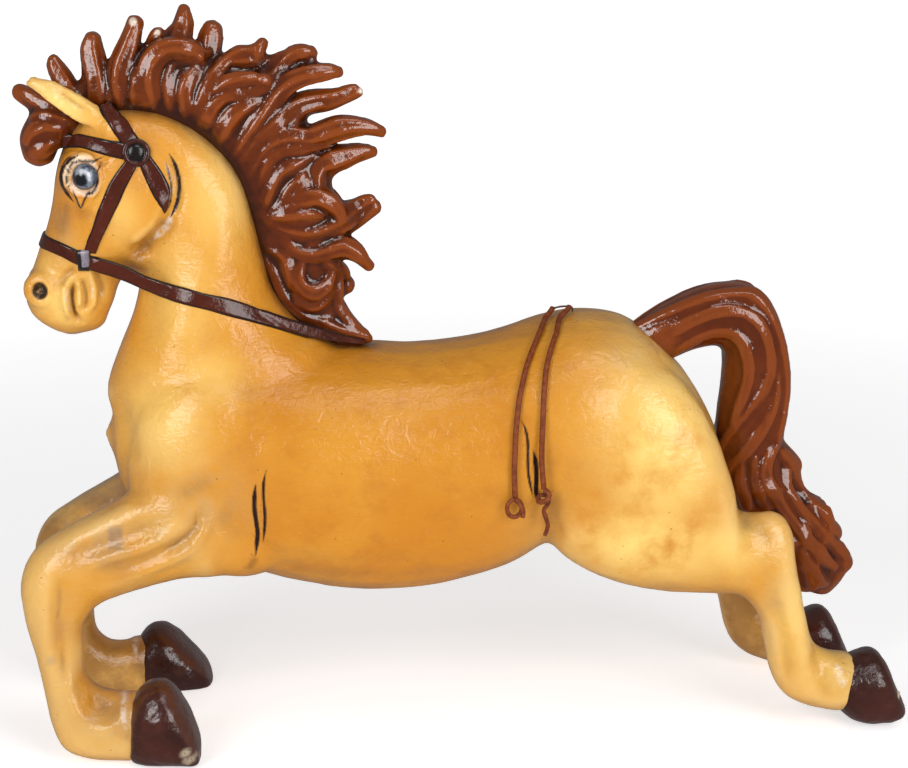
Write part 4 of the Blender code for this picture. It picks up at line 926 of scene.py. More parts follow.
class Paint:
    """A material, built up from a ground colour and what is laid over it."""

    def __init__(self, name, coat=1.0, coat_roughness=0.08, roughness=0.4, coat_ior=1.5, level=0.15):
        self.material = bpy.data.materials.new(name)
        self.material.use_nodes = True
        self.tree = self.material.node_tree
        self.shader = self.tree.nodes["Principled BSDF"]
        self.shader.inputs["Coat Weight"].default_value = coat
        self.shader.inputs["Coat Roughness"].default_value = coat_roughness
        self.shader.inputs["Roughness"].default_value = roughness
        self.shader.inputs["IOR"].default_value = 1.5
        self.shader.inputs["Coat IOR"].default_value = coat_ior
        self.shader.inputs["Specular IOR Level"].default_value = level
        self.place = self.add("ShaderNodeTexCoord").outputs["Object"]

    def add(self, kind, **settings):
        node = self.tree.nodes.new(kind)
        for key, value in settings.items():
            setattr(node, key, value)
        return node

    def join(self, socket, value):
        if isinstance(value, bpy.types.NodeSocket):
            self.tree.links.new(value, socket)
        else:
            socket.default_value = value

    def math(self, operation, *values):
        node = self.add("ShaderNodeMath", operation=operation)
        for socket, value in zip(node.inputs, values):
            self.join(socket, value)
        return node.outputs[0]

    def times(self, one, two):
        return self.math("MULTIPLY", one, two)

    def plus(self, one, two):
        return self.math("ADD", one, two)

    def mix(self, share, one, two):
        node = self.add("ShaderNodeMix", data_type="RGBA")
        for name, value in (("Factor_Float", share), ("A_Color", one), ("B_Color", two)):
            socket = next(item for item in node.inputs if item.identifier == name)
            self.join(socket, (*value, 1.0) if isinstance(value, tuple) else value)
        return next(item for item in node.outputs if item.identifier == "Result_Color")

    def band(self, value, low, high):
        node = self.add("ShaderNodeMapRange", interpolation_type="SMOOTHSTEP")
        self.join(node.inputs["Value"], value)
        self.join(node.inputs["From Min"], low)
        self.join(node.inputs["From Max"], high)
        return node.outputs[0]

    def stretched(self, scale, turn):
        node = self.add("ShaderNodeMapping")
        self.join(node.inputs["Vector"], self.place)
        node.inputs["Scale"].default_value = scale
        node.inputs["Rotation"].default_value = turn
        return node.outputs[0]

    def noise(self, scale, detail=2.0, rough=0.5, place=None, warp=0.0):
        node = self.add("ShaderNodeTexNoise")
        self.join(node.inputs["Vector"], place or self.place)
        node.inputs["Scale"].default_value = scale
        node.inputs["Detail"].default_value = detail
        node.inputs["Roughness"].default_value = rough
        node.inputs["Distortion"].default_value = warp
        return node.outputs["Fac"]

    def cells(self, scale):
        node = self.add("ShaderNodeTexVoronoi")
        self.join(node.inputs["Vector"], self.place)
        node.inputs["Scale"].default_value = scale
        return node.outputs["Distance"]

    def mark(self, name):
        return self.add("ShaderNodeAttribute", attribute_name=name).outputs["Fac"]

    def ground(self, share, one, two):
        """The first colour, from one to two by share."""
        self.laid = self.mix(share, one, two)

    def cover(self, colour, share, weight=None):
        """A colour over what is laid already."""
        share = share if weight is None else self.times(share, weight)
        self.laid = self.mix(share, self.laid, colour)

    def rough(self, share, more, least):
        self.join(self.shader.inputs["Roughness"], self.math("MULTIPLY_ADD", share, more, least))

    def done(self, *heights):
        """The material with its colour and its bumps, each a height and its distance in metres."""
        self.join(self.shader.inputs["Base Color"], self.laid)
        normal = None
        for height, distance in heights:
            node = self.add("ShaderNodeBump")
            node.inputs["Strength"].default_value = 1.0
            node.inputs["Distance"].default_value = distance
            self.join(node.inputs["Height"], height)
            if normal is not None:
                self.join(node.inputs["Normal"], normal)
            normal = node.outputs[0]
        self.join(self.shader.inputs["Normal"], normal)
        self.join(self.shader.inputs["Coat Normal"], normal)
        return self.material


def ochre_lacquer():
    paint = Paint("ochre_lacquer", coat=0.8, coat_roughness=0.09, roughness=0.5)
    wide, middle, fine = paint.noise(5.0, 3.0, 0.55), paint.noise(22.0, 4.0, 0.6), paint.noise(120.0, 4.0, 0.6)
    streaks = paint.noise(1.0, 5.0, 0.6, place=paint.stretched((60, 60, 340), (0.3, 0.2, 0.4)), warp=0.6)
    both = paint.plus(wide, middle)
    hollow = paint.mark("hollow")
    # The yellow, uneven from brushing, and where it is pale: worn in places, and a painted sheen where highlights fall
    paint.ground(paint.band(wide, 0.35, 0.65), (0.58, 0.215, 0.010), (0.65, 0.275, 0.022))
    paint.cover((0.48, 0.160, 0.009), paint.band(middle, 0.45, 0.75), 0.5)
    paint.cover((0.42, 0.15, 0.02), paint.band(streaks, 0.5, 0.8), 0.25)
    paint.cover((0.72, 0.38, 0.09), paint.band(fine, 0.55, 0.8), 0.2)
    paint.cover((0.95, 0.66, 0.19), paint.times(paint.mark("pale_wear_and_sheen"), paint.band(both, 0.5, 1.1)), 0.95)
    # Greyish dust, and painted shade beside the nose
    paint.cover((0.50, 0.33, 0.155), paint.times(paint.mark("dust_and_shade"), paint.band(middle, 0.3, 0.6)), 0.75)
    paint.cover((0.30, 0.20, 0.13), paint.mark("glue"), paint.band(middle, 0.1, 0.6))
    paint.cover((0.33, 0.19, 0.105), paint.times(paint.mark("far_arm"), paint.band(middle, 0.2, 0.6)), 0.85)
    # Lighter on ridges, where the hollow mark is below 0: a painted highlight
    paint.cover((0.92, 0.62, 0.22), paint.band(hollow, -0.35, -0.9), 0.4)
    # Old brown film in hollows
    paint.cover((0.30, 0.12, 0.02), paint.band(paint.plus(hollow, paint.times(middle, 0.6)), 0.35, 1.6), 0.6)
    # Dark brown in folds and creases: painted shade, with some dirt
    paint.cover((0.13, 0.046, 0.012), paint.mark("fold_shade_and_dirt"), paint.band(paint.plus(middle, fine), 0.55, 1.1))
    # Brown on the inner sides of the legs is painted shade with some darker varnish; on faces turned down it is painted
    # shade
    paint.cover((0.27, 0.115, 0.022), paint.times(paint.mark("inner"), paint.band(both, 0.7, 1.15)), 0.8)
    # Painted shade on the neck along the mane, at the tail root, under the jowl and under the eye
    paint.cover((0.12, 0.045, 0.015), paint.times(paint.mark("shade"), paint.band(middle, 0.1, 0.6)), 0.85)
    specks, rare = paint.band(paint.cells(95.0), 0.13, 0.07), paint.band(paint.noise(30.0), 0.56, 0.62)
    paint.cover((0.16, 0.06, 0.02), paint.times(specks, rare), 0.6)
    # Brushwork of the face and the black strokes
    paint.cover((0.84, 0.66, 0.50), paint.mark("lid"), paint.band(fine, 0.2, 0.7))
    # Pale strokes; those along the lips are painted highlights on ridges
    paint.cover((0.80, 0.70, 0.60), paint.mark("pale"), paint.band(fine, 0.3, 0.6))
    paint.cover((0.040, 0.022, 0.013), paint.mark("nostril"), paint.band(fine, 0.85, 0.5))
    paint.cover((0.018, 0.006, 0.004), paint.mark("ink"))
    paint.rough(middle, 0.25, 0.30)
    wrinkles = paint.noise(75.0, 3.0, 0.55, warp=0.8)
    return paint.done((wide, 0.003), (wrinkles, 0.0014), (streaks, 0.0005), (fine, 0.00025))


def mane_lacquer():
    paint = Paint("mane_lacquer", coat_roughness=0.07, roughness=0.5, coat_ior=1.62, level=0.0)
    wide, middle, fine = paint.noise(9.0, 3.0, 0.55), paint.noise(38.0, 4.0, 0.6), paint.noise(170.0, 4.0, 0.6)
    hollow = paint.mark("hollow")
    paint.ground(paint.band(wide, 0.3, 0.7), (0.098, 0.016, 0.002), (0.150, 0.028, 0.003))
    paint.cover((0.072, 0.012, 0.002), paint.band(middle, 0.4, 0.75), 0.6)
    # Dark in the hollows, and as painted shade where the hair meets the neck
    paint.cover((0.018, 0.004, 0.002), paint.band(hollow, 0.0, 0.85), 0.85)
    paint.cover((0.28, 0.062, 0.009), paint.band(hollow, -0.15, -0.8), 0.6)
    paint.cover((0.72, 0.60, 0.48), paint.mark("chip"))
    paint.rough(middle, 0.25, 0.25)
    return paint.done((middle, 0.0009), (paint.noise(110.0, 3.0, 0.6, warp=0.7), 0.0005), (fine, 0.0001))


def hoof_lacquer():
    paint = Paint("hoof_lacquer", coat_roughness=0.10)
    wide, middle, fine = paint.noise(16.0, 3.0, 0.55), paint.noise(60.0, 4.0, 0.6), paint.noise(220.0, 4.0, 0.6)
    chip = paint.mark("chip")
    paint.ground(paint.band(wide, 0.35, 0.65), (0.034, 0.008, 0.005), (0.060, 0.013, 0.007))
    paint.cover((0.12, 0.035, 0.018), paint.band(middle, 0.5, 0.8), 0.5)
    # Lighter bevel along the sole: a painted highlight
    paint.cover((0.12, 0.045, 0.030), paint.mark("sole_highlight"), 0.45)
    paint.cover(paint.mix(middle, (0.42, 0.31, 0.20), (0.66, 0.55, 0.40)), chip, paint.band(fine, 0.25, 0.5))
    paint.rough(chip, 0.4, 0.35)
    return paint.done((middle, 0.0012), (paint.noise(140.0, 3.0, 0.6), 0.0007), (fine, 0.0003))


def strap_paint():
    paint = Paint("strap_paint", coat_roughness=0.12, roughness=0.5, level=0.0)
    middle = paint.noise(90.0, 4.0, 0.6)
    paint.ground(paint.band(paint.noise(20.0, 3.0, 0.55), 0.35, 0.65), (0.050, 0.009, 0.004), (0.078, 0.014, 0.006))
    paint.cover((0.085, 0.030, 0.026), paint.band(middle, 0.5, 0.75), 0.5)
    paint.cover((0.010, 0.007, 0.007), paint.band(paint.mark("edge"), 0.25, 0.75))
    return paint.done((middle, 0.0008), (paint.noise(260.0, 3.0, 0.6), 0.0003))


def buckle_paint():
    paint = Paint("buckle_paint", coat_roughness=0.12)
    middle = paint.noise(120.0, 4.0, 0.6)
    paint.ground(paint.band(middle, 0.3, 0.7), (0.16, 0.13, 0.16), (0.30, 0.27, 0.31))
    paint.cover((0.012, 0.010, 0.012), paint.band(paint.mark("edge"), 0.3, 0.8))
    return paint.done((middle, 0.0008))


def eye_paint():
    paint = Paint("eye_paint", coat_roughness=0.04, roughness=0.25)
    swirl = paint.noise(70.0, 3.0, 0.6, warp=1.2)
    brushed = paint.math("MULTIPLY_ADD", swirl, 0.5, -0.25)
    away = paint.mark("away")
    paint.ground(paint.band(swirl, 0.35, 0.65), (0.035, 0.050, 0.085), (0.20, 0.23, 0.28))
    paint.cover((0.50, 0.51, 0.56), paint.band(paint.plus(paint.mark("glint"), brushed), 0.30, 0.70))
    paint.cover((0.006, 0.007, 0.010), paint.band(paint.plus(paint.mark("pupil"), brushed), 0.70, 0.45))
    paint.cover((0.10, 0.08, 0.08), paint.band(paint.plus(away, brushed), 0.90, 1.02))
    paint.cover((0.012, 0.010, 0.010), paint.band(away, 1.02, 1.10))
    return paint.done((paint.noise(300.0), 0.0002))


def brown_leather():
    paint = Paint("brown_leather", coat=0.15, coat_roughness=0.3, roughness=0.5, level=0.1)
    middle = paint.noise(160.0, 4.0, 0.6)
    paint.ground(paint.band(middle, 0.35, 0.65), (0.16, 0.033, 0.009), (0.25, 0.062, 0.018))
    paint.cover((0.09, 0.025, 0.012), paint.mark("edge"), 0.5)
    paint.rough(middle, 0.3, 0.35)
    return paint.done((paint.cells(900.0), 0.0002), (middle, 0.0003))


def rusty_iron():
    paint = Paint("rusty_iron", coat=0.0)
    rust = paint.noise(400.0, 4.0, 0.65)
    share = paint.band(rust, 0.40, 0.60)
    paint.ground(share, (0.10, 0.09, 0.085), (0.16, 0.055, 0.022))
    paint.join(paint.shader.inputs["Metallic"], paint.math("MULTIPLY_ADD", share, -0.8, 0.9))
    paint.rough(share, 0.35, 0.42)
    return paint.done((rust, 0.0003))


# Pieces of the cast ------------------------------------------------------------------------------------------------


def fill_body(mesh):
    add_loft(mesh, [(x, back, x, belly, half, 0.0) for x, back, belly, half in TRUNK])
    add_loft(mesh, NECK)
    add_loft(mesh, HEAD)
    for rows in (EAR, HIND_LEG, FORE_LEG):
        add_loft(mesh, rows, -1)
    for rows in (FAR_EAR, moved(HIND_LEG, FAR_HIND), moved(FORE_LEG, FAR_FORE)):
        add_loft(mesh, rows, 1)
    for x, y, z, *half in MASSES:
        for side in (-1, 1) if y else (1,):
            add_mass(mesh, (x, y, z), half, side)


def make_body():
    data = skin("body", fill_body, BODY_CELL, 9)
    head, low = ([line for _, line in strokes] for strokes in (HEAD_STROKES, BODY_STROKES + PALE_STROKES))
    finer(data, [], 0, [HEAD_AREA])
    finer(data, head + low, 0.55, FACE_AREAS)
    finer(data, low, 0.45)
    places, facing = read(data), read(data, "normal")
    x, y, z = (places / UNIT).T
    away = np.hypot(x - EYE[0], z - EYE[1])
    socket = bell(away - 2.0, 0.36) * 0.28 - 0.60 * smooth_step(away, 1.80, 1.40)
    nostril = np.hypot((x + 50.2) / 0.9, (z - 56.35) / 1.05)
    hole = -0.8 * smooth_step(nostril, 1.15, 0.45) + 0.22 * bell(nostril - 1.6, 0.5)
    outward = smooth_step(np.abs(facing[:, 1]), 0.1, 0.5)
    push(data, (socket + hole) * np.where(np.abs(y) > 1.0, outward, 0.0))
    carve(data, HEAD_CARVING, 1.75)
    carve(data, FORE_CARVING, 1.9, 1.25, (FAR_FORE[0], FAR_FORE[2]))
    carve(data, HIND_CARVING, 1.5, 1.2, (FAR_HIND[0], FAR_HIND[2]))
    places = read(data)
    calm = smooth_step(places[:, 0] / UNIT, -46.0, -30.0) * 0.6 + 0.4
    push(data, (unevenness(places, 14.0, 1.0) * 0.11 + unevenness(places, 42.0, 2.0) * 0.035) * calm)
    on_floor(data)
    return data


def paint_body(data, mane_tree, tail_tree, material):
    """Marks for the lacquer: hollows, painted shade with some dirt in folds, dust, glue, painted shade at the hair and
    below, and the brushwork of the face.
    """
    places, facing = read(data), read(data, "normal")
    x, y, z = (places / UNIT).T
    sideways = np.abs(facing[:, 1])
    # Brown film in the hollows; below 0, on ridges, it carries a painted highlight
    film = np.clip(hollowness(data, 8, 0.0009) * 0.6 + hollowness(data, 40, 0.0032) * 0.5, -1, 1)
    film = softened(data, film[:, None], 12)[:, 0] * (1 - soft_spots(x, z, CLEAN_SPOTS))
    mark(data, "hollow", film)
    # Painted shade with some dirt along the folds and creases
    mark(data, "fold_shade_and_dirt", soft_lines(x, z, FOLD_SHADE_AND_DIRT) * smooth_step(sideways, 0.1, 0.4))
    # Pale spots: partly wear, partly a painted sheen where the highlights fall
    mark(data, "pale_wear_and_sheen", soft_spots(x, z, PALE_WEAR_AND_SHEEN_SPOTS))
    mark(data, "dust_and_shade", soft_spots(x, z, DUST_AND_SHADE_SPOTS))
    far_arm = (y > 0) * smooth_step(x, -36.0, -39.0) * smooth_step(z, 22.0, 25.0) * smooth_step(z, 33.0, 30.0)
    mark(data, "far_arm", far_arm * smooth_step(facing[:, 1], 0.6, 0.2))
    patch = smooth_step(np.abs(x + 42.2), 1.0, 0.8) * smooth_step(np.abs(z - 28.25), 1.4, 1.2) * 0.75
    dab = smooth_step(np.hypot(x + 50.5, (z - 13.4) * 0.7), 0.6, 0.3) * 0.7
    mark(data, "glue", np.maximum(patch, dab) * (y < 0))
    # Painted shade on the inner sides of the legs and on faces turned down
    inward = smooth_step(-facing[:, 1] * np.sign(y), -0.15, 0.5)
    below = smooth_step(-facing[:, 2], 0.25, 0.9) * 0.5
    mark(data, "inner", np.maximum(smooth_step(z, 31.0, 24.0) * inward, below))
    # Painted shade where the mane and tail meet the cast, and under the jowl and the eye
    at_mane = closeness(places, (z > 44) & (x < -8), mane_tree, 0.03, 0.012)
    at_tail = closeness(places, (z > 33) & (x > 18), tail_tree, 0.02, 0.005) * 0.8
    mark(data, "shade", np.maximum.reduce([at_mane, at_tail, soft_spots(x, z, SHADED_SPOTS)]))
    nostril = smooth_step(np.hypot((x + 50.15) / 0.95, (z - 56.35) / 1.05), 1.08, 0.88)
    mark(data, "nostril", nostril * (np.abs(y) > 1.0))
    away = np.hypot(x - EYE[0], z - EYE[1])
    lid = smooth_step(away, 2.45, 2.0) * (away > 1.3) * smooth_step(x, -42.2, -43.4)
    lid = np.maximum(lid, 0.9 * smooth_step(away, 2.9, 2.2) * smooth_step(x, -42.8, -43.6) * (z > 69.5))
    mark(data, "lid", lid * (np.abs(y) > 2.5))
    mark(data, "ink", stroke_mask(x, z, HEAD_STROKES + BODY_STROKES, 0.06) * (sideways > 0.1))
    mark(data, "pale", stroke_mask(x, z, PALE_STROKES, 0.22) * 0.6)
    piece("body", data, material)


def strands_over(base, lines, deep):
    """Strands laid on both flanks of a base form; they sink in less, or more, in the lower part."""
    tree = tree_of(base)
    rows = []
    for side in (-1, 1):
        for line in lines:
            points = between(line, 2)
            depths = []
            for x, z, half in points:
                hit = tree.ray_cast(Vector((x * UNIT, side * 0.4, z * UNIT)), Vector((0, -side, 0)))[0]
                if hit is None:
                    hit = tree.find_nearest(Vector((x * UNIT, side * 0.01, z * UNIT)))[0]
                root = max(0.0, 1 - len(depths) / (len(points) * 0.3)) ** 2
                sunk = deep[0] + (deep[1] - deep[0]) * min(1.0, max(0.0, (z - 32.0) / 6.0))
                depths.append(side * hit.y / UNIT - half * (sunk + 0.8 * root))
            last = len(depths) - 1
            for _ in range(3):
                depths = [
                    (depths[max(i - 1, 0)] + 2 * depths[i] + depths[min(i + 1, last)]) / 4 for i in range(last + 1)
                ]
            rows.append((side, lock_rows(points, depths, STRAND_FLAT)))
    return rows


def make_hair(
    name, base_rows, locks, strands, cell, deep=(0.5, 0.5), wide=1.42, shrink=0.05, root=1.2, lighter=0.0, body=None
):
    """A carved mass of hair: a base form with locks, and strands laid over it."""

    def fill_base(mesh):
        add_loft(mesh, base_rows)
        for y, points in locks:
            add_loft(mesh, lock_rows(points, [y] * len(points), LOCK_FLAT), fullness=2.0)

    base = skin(name + "_base", fill_base, 0.004, 3)
    lines = []
    for line in strands:
        (x, z, half), (x1, z1, _) = line[:2]
        share = root / math.hypot(x1 - x, z1 - z)
        line = [(x - (x1 - x) * share, z - (z1 - z) * share, half * 0.7)] + line
        last = len(line) - 1
        widths = [half * (1 + (wide - 1) * min(1.0, 3.0 * (1 - i / last))) for i, (_, _, half) in enumerate(line)]
        lines.append([(x, z, half) for (x, z, _), half in zip(line, widths)])
    laid = strands_over(base, lines, deep)
    write(base, read(base) - read(base, "normal") * shrink * UNIT)

    def fill(mesh):
        mesh.from_mesh(base)
        for number, (side, sections) in enumerate(laid):
            add_strand(mesh, sections, side, number)

    data = skin(name, fill, cell, 7)
    bpy.data.meshes.remove(base)
    places = read(data)
    # The lower part of the tail is lumpier than the rest
    tips = smooth_step(places[:, 0], 0.3, 0.34) * smooth_step(places[:, 2], 0.34, 0.27)
    lumps = tips * (0.4 - 1.25 * np.abs(unevenness(places, 19.0, 8.0, 1)))
    push(data, unevenness(places, 45.0, 3.0) * 0.05 + lumps)
    on_floor(data)
    hollow = hollowness(data, 10, 0.0009) * 0.5 + hollowness(data, 45, 0.003) * 0.5 + hollowness(data, 130, 0.005) * 0.6
    places = read(data)
    # Painted shade where the hair meets the neck, laid into the hollow mark
    if body is not None:
        hollow += 0.9 * closeness(places, np.ones(len(places)), body, 0.02, 0.014)
    mark(data, "hollow", np.clip(hollow - lighter, -1, 1))
    x, _, z = (places / UNIT).T
    chips = [smooth_step(np.hypot(x - cx, z - cz), size, size * 0.6) for cx, cz, size in HAIR_CHIPS]
    mark(data, "chip", np.maximum.reduce(chips))
    return data


def make_hoof(name, rows, side, sole_highlight, chips, material):
    data = skin(name, lambda mesh: add_loft(mesh, rows, side), HOOF_CELL, 14)
    push(data, unevenness(read(data), 32.0, 5.0 + side, 3) * 0.13)
    on_floor(data)
    places = read(data)
    x, y, z = (places / UNIT).T
    (ax, az), (bx, bz) = sole_highlight
    beyond = ((x - ax) * (az - bz) + (z - az) * (bx - ax)) / math.hypot(bx - ax, bz - az)
    # The band beyond the sole line gets a painted highlight
    mark(data, "sole_highlight", smooth_step(beyond, -0.55, -0.25))
    chip = np.zeros(len(x))
    for cx, cy, cz, size in chips:
        away = np.sqrt((x - cx) ** 2 + (y - cy) ** 2 + (z - cz) ** 2)
        chip = np.maximum(chip, smooth_step(away, size, size * 0.7))
    push(data, -chip * (0.22 + 0.5 * unevenness(places, 120.0, 6.0)))
    mark(data, "chip", chip)
    piece(name, data, material)


# Bridle and eyes ---------------------------------------------------------------------------------------------------


def word(side):
    return "near" if side < 0 else "far"


def shell(name, grid, marks, material):
    """A closed shell from rows of pairs of outer and inner points; the rows' first and last points are its sides."""
    mesh = bmesh.new()
    outer, inner = ([[mesh.verts.new(pair[k]) for pair in row] for row in grid] for k in (0, 1))
    rows, across = len(grid), len(grid[0])
    for i in range(rows - 1):
        for j in range(across - 1):
            mesh.faces.new((outer[i][j], outer[i][j + 1], outer[i + 1][j + 1], outer[i + 1][j]))
            mesh.faces.new((inner[i][j], inner[i + 1][j], inner[i + 1][j + 1], inner[i][j + 1]))
        for j in (0, across - 1):
            mesh.faces.new((outer[i][j], outer[i + 1][j], inner[i + 1][j], inner[i][j]))
    for i in (0, rows - 1):
        for j in range(across - 1):
            mesh.faces.new((outer[i][j], inner[i][j], inner[i][j + 1], outer[i][j + 1]))
    data = as_data(mesh, name)
    mark(data, "edge", np.array(marks + marks))
    piece(name, data, material)


def blurred(rows, ends=True):
    """Rows of vectors averaged with their neighbours; without ends, the border stays."""
    last_row, last = len(rows) - 1, len(rows[0]) - 1
    result = []
    for i, row in enumerate(rows):
        line = []
        for j, value in enumerate(row):
            if not ends and (i in (0, last_row) or j in (0, last)):
                line.append(value.copy())
                continue
            near = [rows[max(i - 1, 0)][j], rows[min(i + 1, last_row)][j], row[max(j - 1, 0)], row[min(j + 1, last)]]
            line.append(value * 0.5 + sum(near, Vector()) * 0.125)
        result.append(line)
    return result


def strap(name, edges, side, tree, material, rise=0.0022, whole=False, bars=0):
    """A low raised band between two edges, laid on the cast, with a painted border; bars widen the border."""
    left, right = (between(edge, 5) for edge in edges)
    if whole:
        left, right = (edge + [(x, z, -y) for x, z, y in edge[-2::-1]] for edge in (left, right))
    points, normals = [], []
    for one, two in zip(left, right):
        row, facing = [], []
        for j in range(STRAP_POINTS):
            share = j / (STRAP_POINTS - 1)
            x, z, y = (a + (b - a) * share for a, b in zip(one, two))
            wanted = Vector((x, side * y, z)) * UNIT
            place, normal, _, _ = tree.find_nearest(wanted)
            if (wanted - place).dot(normal) > 0.003:
                place, normal = wanted, Vector((0, side, 0))
            row.append(place)
            facing.append(normal)
        points.append(row)
        normals.append(facing)
    for _ in range(4):
        normals = blurred(normals)
    for _ in range(2):
        points = blurred(points, ends=False)
    grid, marks = [], []
    last = len(points) - 1
    for i, (row, facing) in enumerate(zip(points, normals)):
        pairs = []
        for j, (place, normal) in enumerate(zip(row, facing)):
            share = abs(2 * j / (STRAP_POINTS - 1) - 1)
            round_off = (1 - share**10) ** 0.5 * min(1.0, 0.35 + min(i, last - i) * 0.4)
            normal = normal.normalized()
            pairs.append((place + normal * (0.0004 + rise * round_off), place - normal * 0.0014))
            marks.append(1.0 if j < bars or (bars and i > last - 3) else share**3)
        grid.append(pairs)
    shell(name, grid, marks, material)


def turned(name, profile, place, axis, material):
    """A turned form: distance from the axis, height and painted edge of each profile point."""
    matrix = axis.to_track_quat("Z", "Y").to_matrix()
    mesh = bmesh.new()
    rings, marks = [], []
    for away, height, edge in profile:
        angles = turns(TURNED_RING) if away >= 1e-6 else [0.0]
        steps = [Vector((away * math.cos(turn), away * math.sin(turn), height)) for turn in angles]
        rings.append([mesh.verts.new(place + matrix @ step) for step in steps])
        marks += [edge] * len(angles)
    for one, two in zip(rings, rings[1:]):
        for i in range(TURNED_RING):
            j = (i + 1) % TURNED_RING
            if len(one) == 1:
                mesh.faces.new((one[0], two[i], two[j]))
            elif len(two) == 1:
                mesh.faces.new((one[i], two[0], one[j]))
            else:
                mesh.faces.new((one[i], two[i], two[j], one[j]))
    data = as_data(mesh, name)
    mark(data, "edge", np.array(marks))
    return piece(name, data, material)


def make_concho(side, tree, material):
    x, z, y = CONCHO
    place, normal, _, _ = tree.find_nearest(Vector((x, side * y, z)) * UNIT)
    axis = (normal * 0.6 + Vector((0, side, 0)) * 0.4).normalized()
    turned("concho_" + word(side), CONCHO_PROFILE, place, axis, material)


def make_eye(side, tree, material):
    """An eyeball with a low cornea, set in its socket."""
    x, z, y = EYE
    place, normal, _, _ = tree.find_nearest(Vector((x, side * y, z)) * UNIT)
    axis = (normal * 0.3 + Vector((-0.12, side, 0.05))).normalized()
    size = EYE_BALL * UNIT
    profile = []
    steps = 26
    for i in range(steps + 1):
        turn = math.pi * (1 - i / steps)
        away, height = size * math.sin(turn) if 0 < i < steps else 0.0, size * math.cos(turn)
        cornea = math.exp(-((away / (size * 0.38)) ** 2)) * 0.0012 if height > 0 else 0.0
        profile.append((away, height + cornea, 0.0))
    data = turned("eye_" + word(side), profile, place - axis * (size * 0.68), axis, material).data
    places = read(data) / UNIT
    right, high = (places[:, 0] - x) / 1.55, (places[:, 2] - z) / 1.55
    front = smooth_step(side * places[:, 1], y - 1.6, y - 1.2)
    mark(data, "away", np.hypot(right - 0.08, high - 0.09) * front + (1 - front) * 1.3)
    mark(data, "pupil", np.hypot(right + 0.26, high + 0.20) / 0.85)
    ring = np.hypot(right + 0.10, high + 0.05)
    mark(data, "glint", 0.85 * bell(ring - 0.52, 0.16) * smooth_step(right + high * 0.8, -0.25, 0.35))


# Thongs ------------------------------------------------------------------------------------------------------------


def lace(name, points, wide, thick, twist, material, node):
    """A leather lace with a rounded oblong section that turns a little on its way."""
    mesh = bmesh.new()
    rings, marks = [], []
    last = len(points) - 1
    side = Vector((1, 0, 0))
    for i, place in enumerate(points):
        ahead = (points[min(i + 1, last)] - points[max(i - 1, 0)]).normalized()
        side = (side - ahead * side.dot(ahead)).normalized()
        turn = twist * math.sin(i * 0.55)
        one = side * math.cos(turn) + ahead.cross(side) * math.sin(turn)
        two = ahead.cross(one)
        ring = []
        for angle in turns(LACE_RING):
            right, high = full(math.cos(angle), LACE_FULLNESS), full(math.sin(angle), LACE_FULLNESS)
            ring.append(mesh.verts.new(place + one * right * wide + two * high * thick))
            marks.append(abs(math.cos(angle)) ** 3)
        rings.append(ring)
    for one, two in zip(rings, rings[1:]):
        for j in range(LACE_RING):
            k = (j + 1) % LACE_RING
            mesh.faces.new((one[j], one[k], two[k], two[j]))
    mesh.faces.new(rings[0])
    mesh.faces.new(rings[-1])
    data = as_data(mesh, name)
    mark(data, "edge", np.array(marks))
    return piece(name, data, material, (node,))


def dense(points, spacing):
    """Points at an even spacing along a smooth curve."""
    fine = [Vector(point) for point in between([tuple(point) for point in points], 12)]
    result = [fine[0]]
    left = spacing
    for one, two in zip(fine, fine[1:]):
        step = (two - one).length
        while step >= left:
            one = one + (two - one).normalized() * left
            result.append(one)
            step -= left
            left = spacing
        left -= step
    if (result[-1] - fine[-1]).length > spacing * 0.3:
        result.append(fine[-1])
    return result


def make_thongs(material):
    """Both laces, the slip loop of the front one and the knot of the rear one."""
    front, rear = between(THONG_FRONT, 2), between(THONG_REAR, 2)
    top, end = (Vector(route[-1]) - Vector((0, 0, 0.0003)) for route in (front, rear))
    ring = []
    for i in range(17):
        turn = math.pi / 2 + 2 * math.pi * i / 16
        right, behind = math.cos(turn) * 0.0088 - 0.001, -0.001 - 0.0015 * math.sin(turn / 2)
        ring.append(top + Vector((right, behind, math.sin(turn) * 0.0108 - 0.0125)))
    ring += [top + Vector(step) for step in LOOP_TAIL]
    knot_line = [end + Vector(step) for step in KNOT]
    loop = lace("front_loop", dense(ring, 0.0016), 0.0027, 0.0023, 0.15, material, "front_thong_loop")
    knot = lace("rear_knot", dense(knot_line, 0.0012), 0.0033, 0.0025, 0.2, material, "rear_thong_knot")
    for name, route, ending, node in (
        ("front_lace", front, loop, "front_thong"),
        ("rear_lace", rear, knot, "rear_thong"),
    ):
        line = dense(route, 0.003)
        item = lace(name, line, 0.0033, 0.0024, 0.12, material, node)


# Room --------------------------------------------------------------------------------------------------------------


def add_camera():
    data = bpy.data.cameras.new("camera")
    data.sensor_width = 36.0
    data.lens = 36.0 * 1930 / 908
    data.clip_start, data.clip_end = 0.05, 200.0
    camera = placed("camera", data)
    camera.location = (-0.2483, -2.2832, 1.0248)
    camera.rotation_euler = Vector((0.09947, 0.96258, -0.25207)).to_track_quat("-Z", "Y").to_euler()
    bpy.context.scene.camera = camera


def add_light(name, azimuth, elevation, distance, size, power):
    """A soft box at an angle round the horse: 0 is in front of its near side, above 0 is towards the tail."""
    data = bpy.data.lights.new(name, "AREA")
    data.shape = "RECTANGLE"
    data.size, data.size_y = size
    data.energy = power
    light = placed(name, data)
    turn, rise = math.radians(azimuth), math.radians(elevation)
    away = Vector((math.sin(turn) * math.cos(rise), -math.cos(turn) * math.cos(rise), math.sin(rise)))
    light.location = Vector((0, 0, 0.45)) + away * distance
    light.rotation_euler = (-away).to_track_quat("-Z", "Y").to_euler()


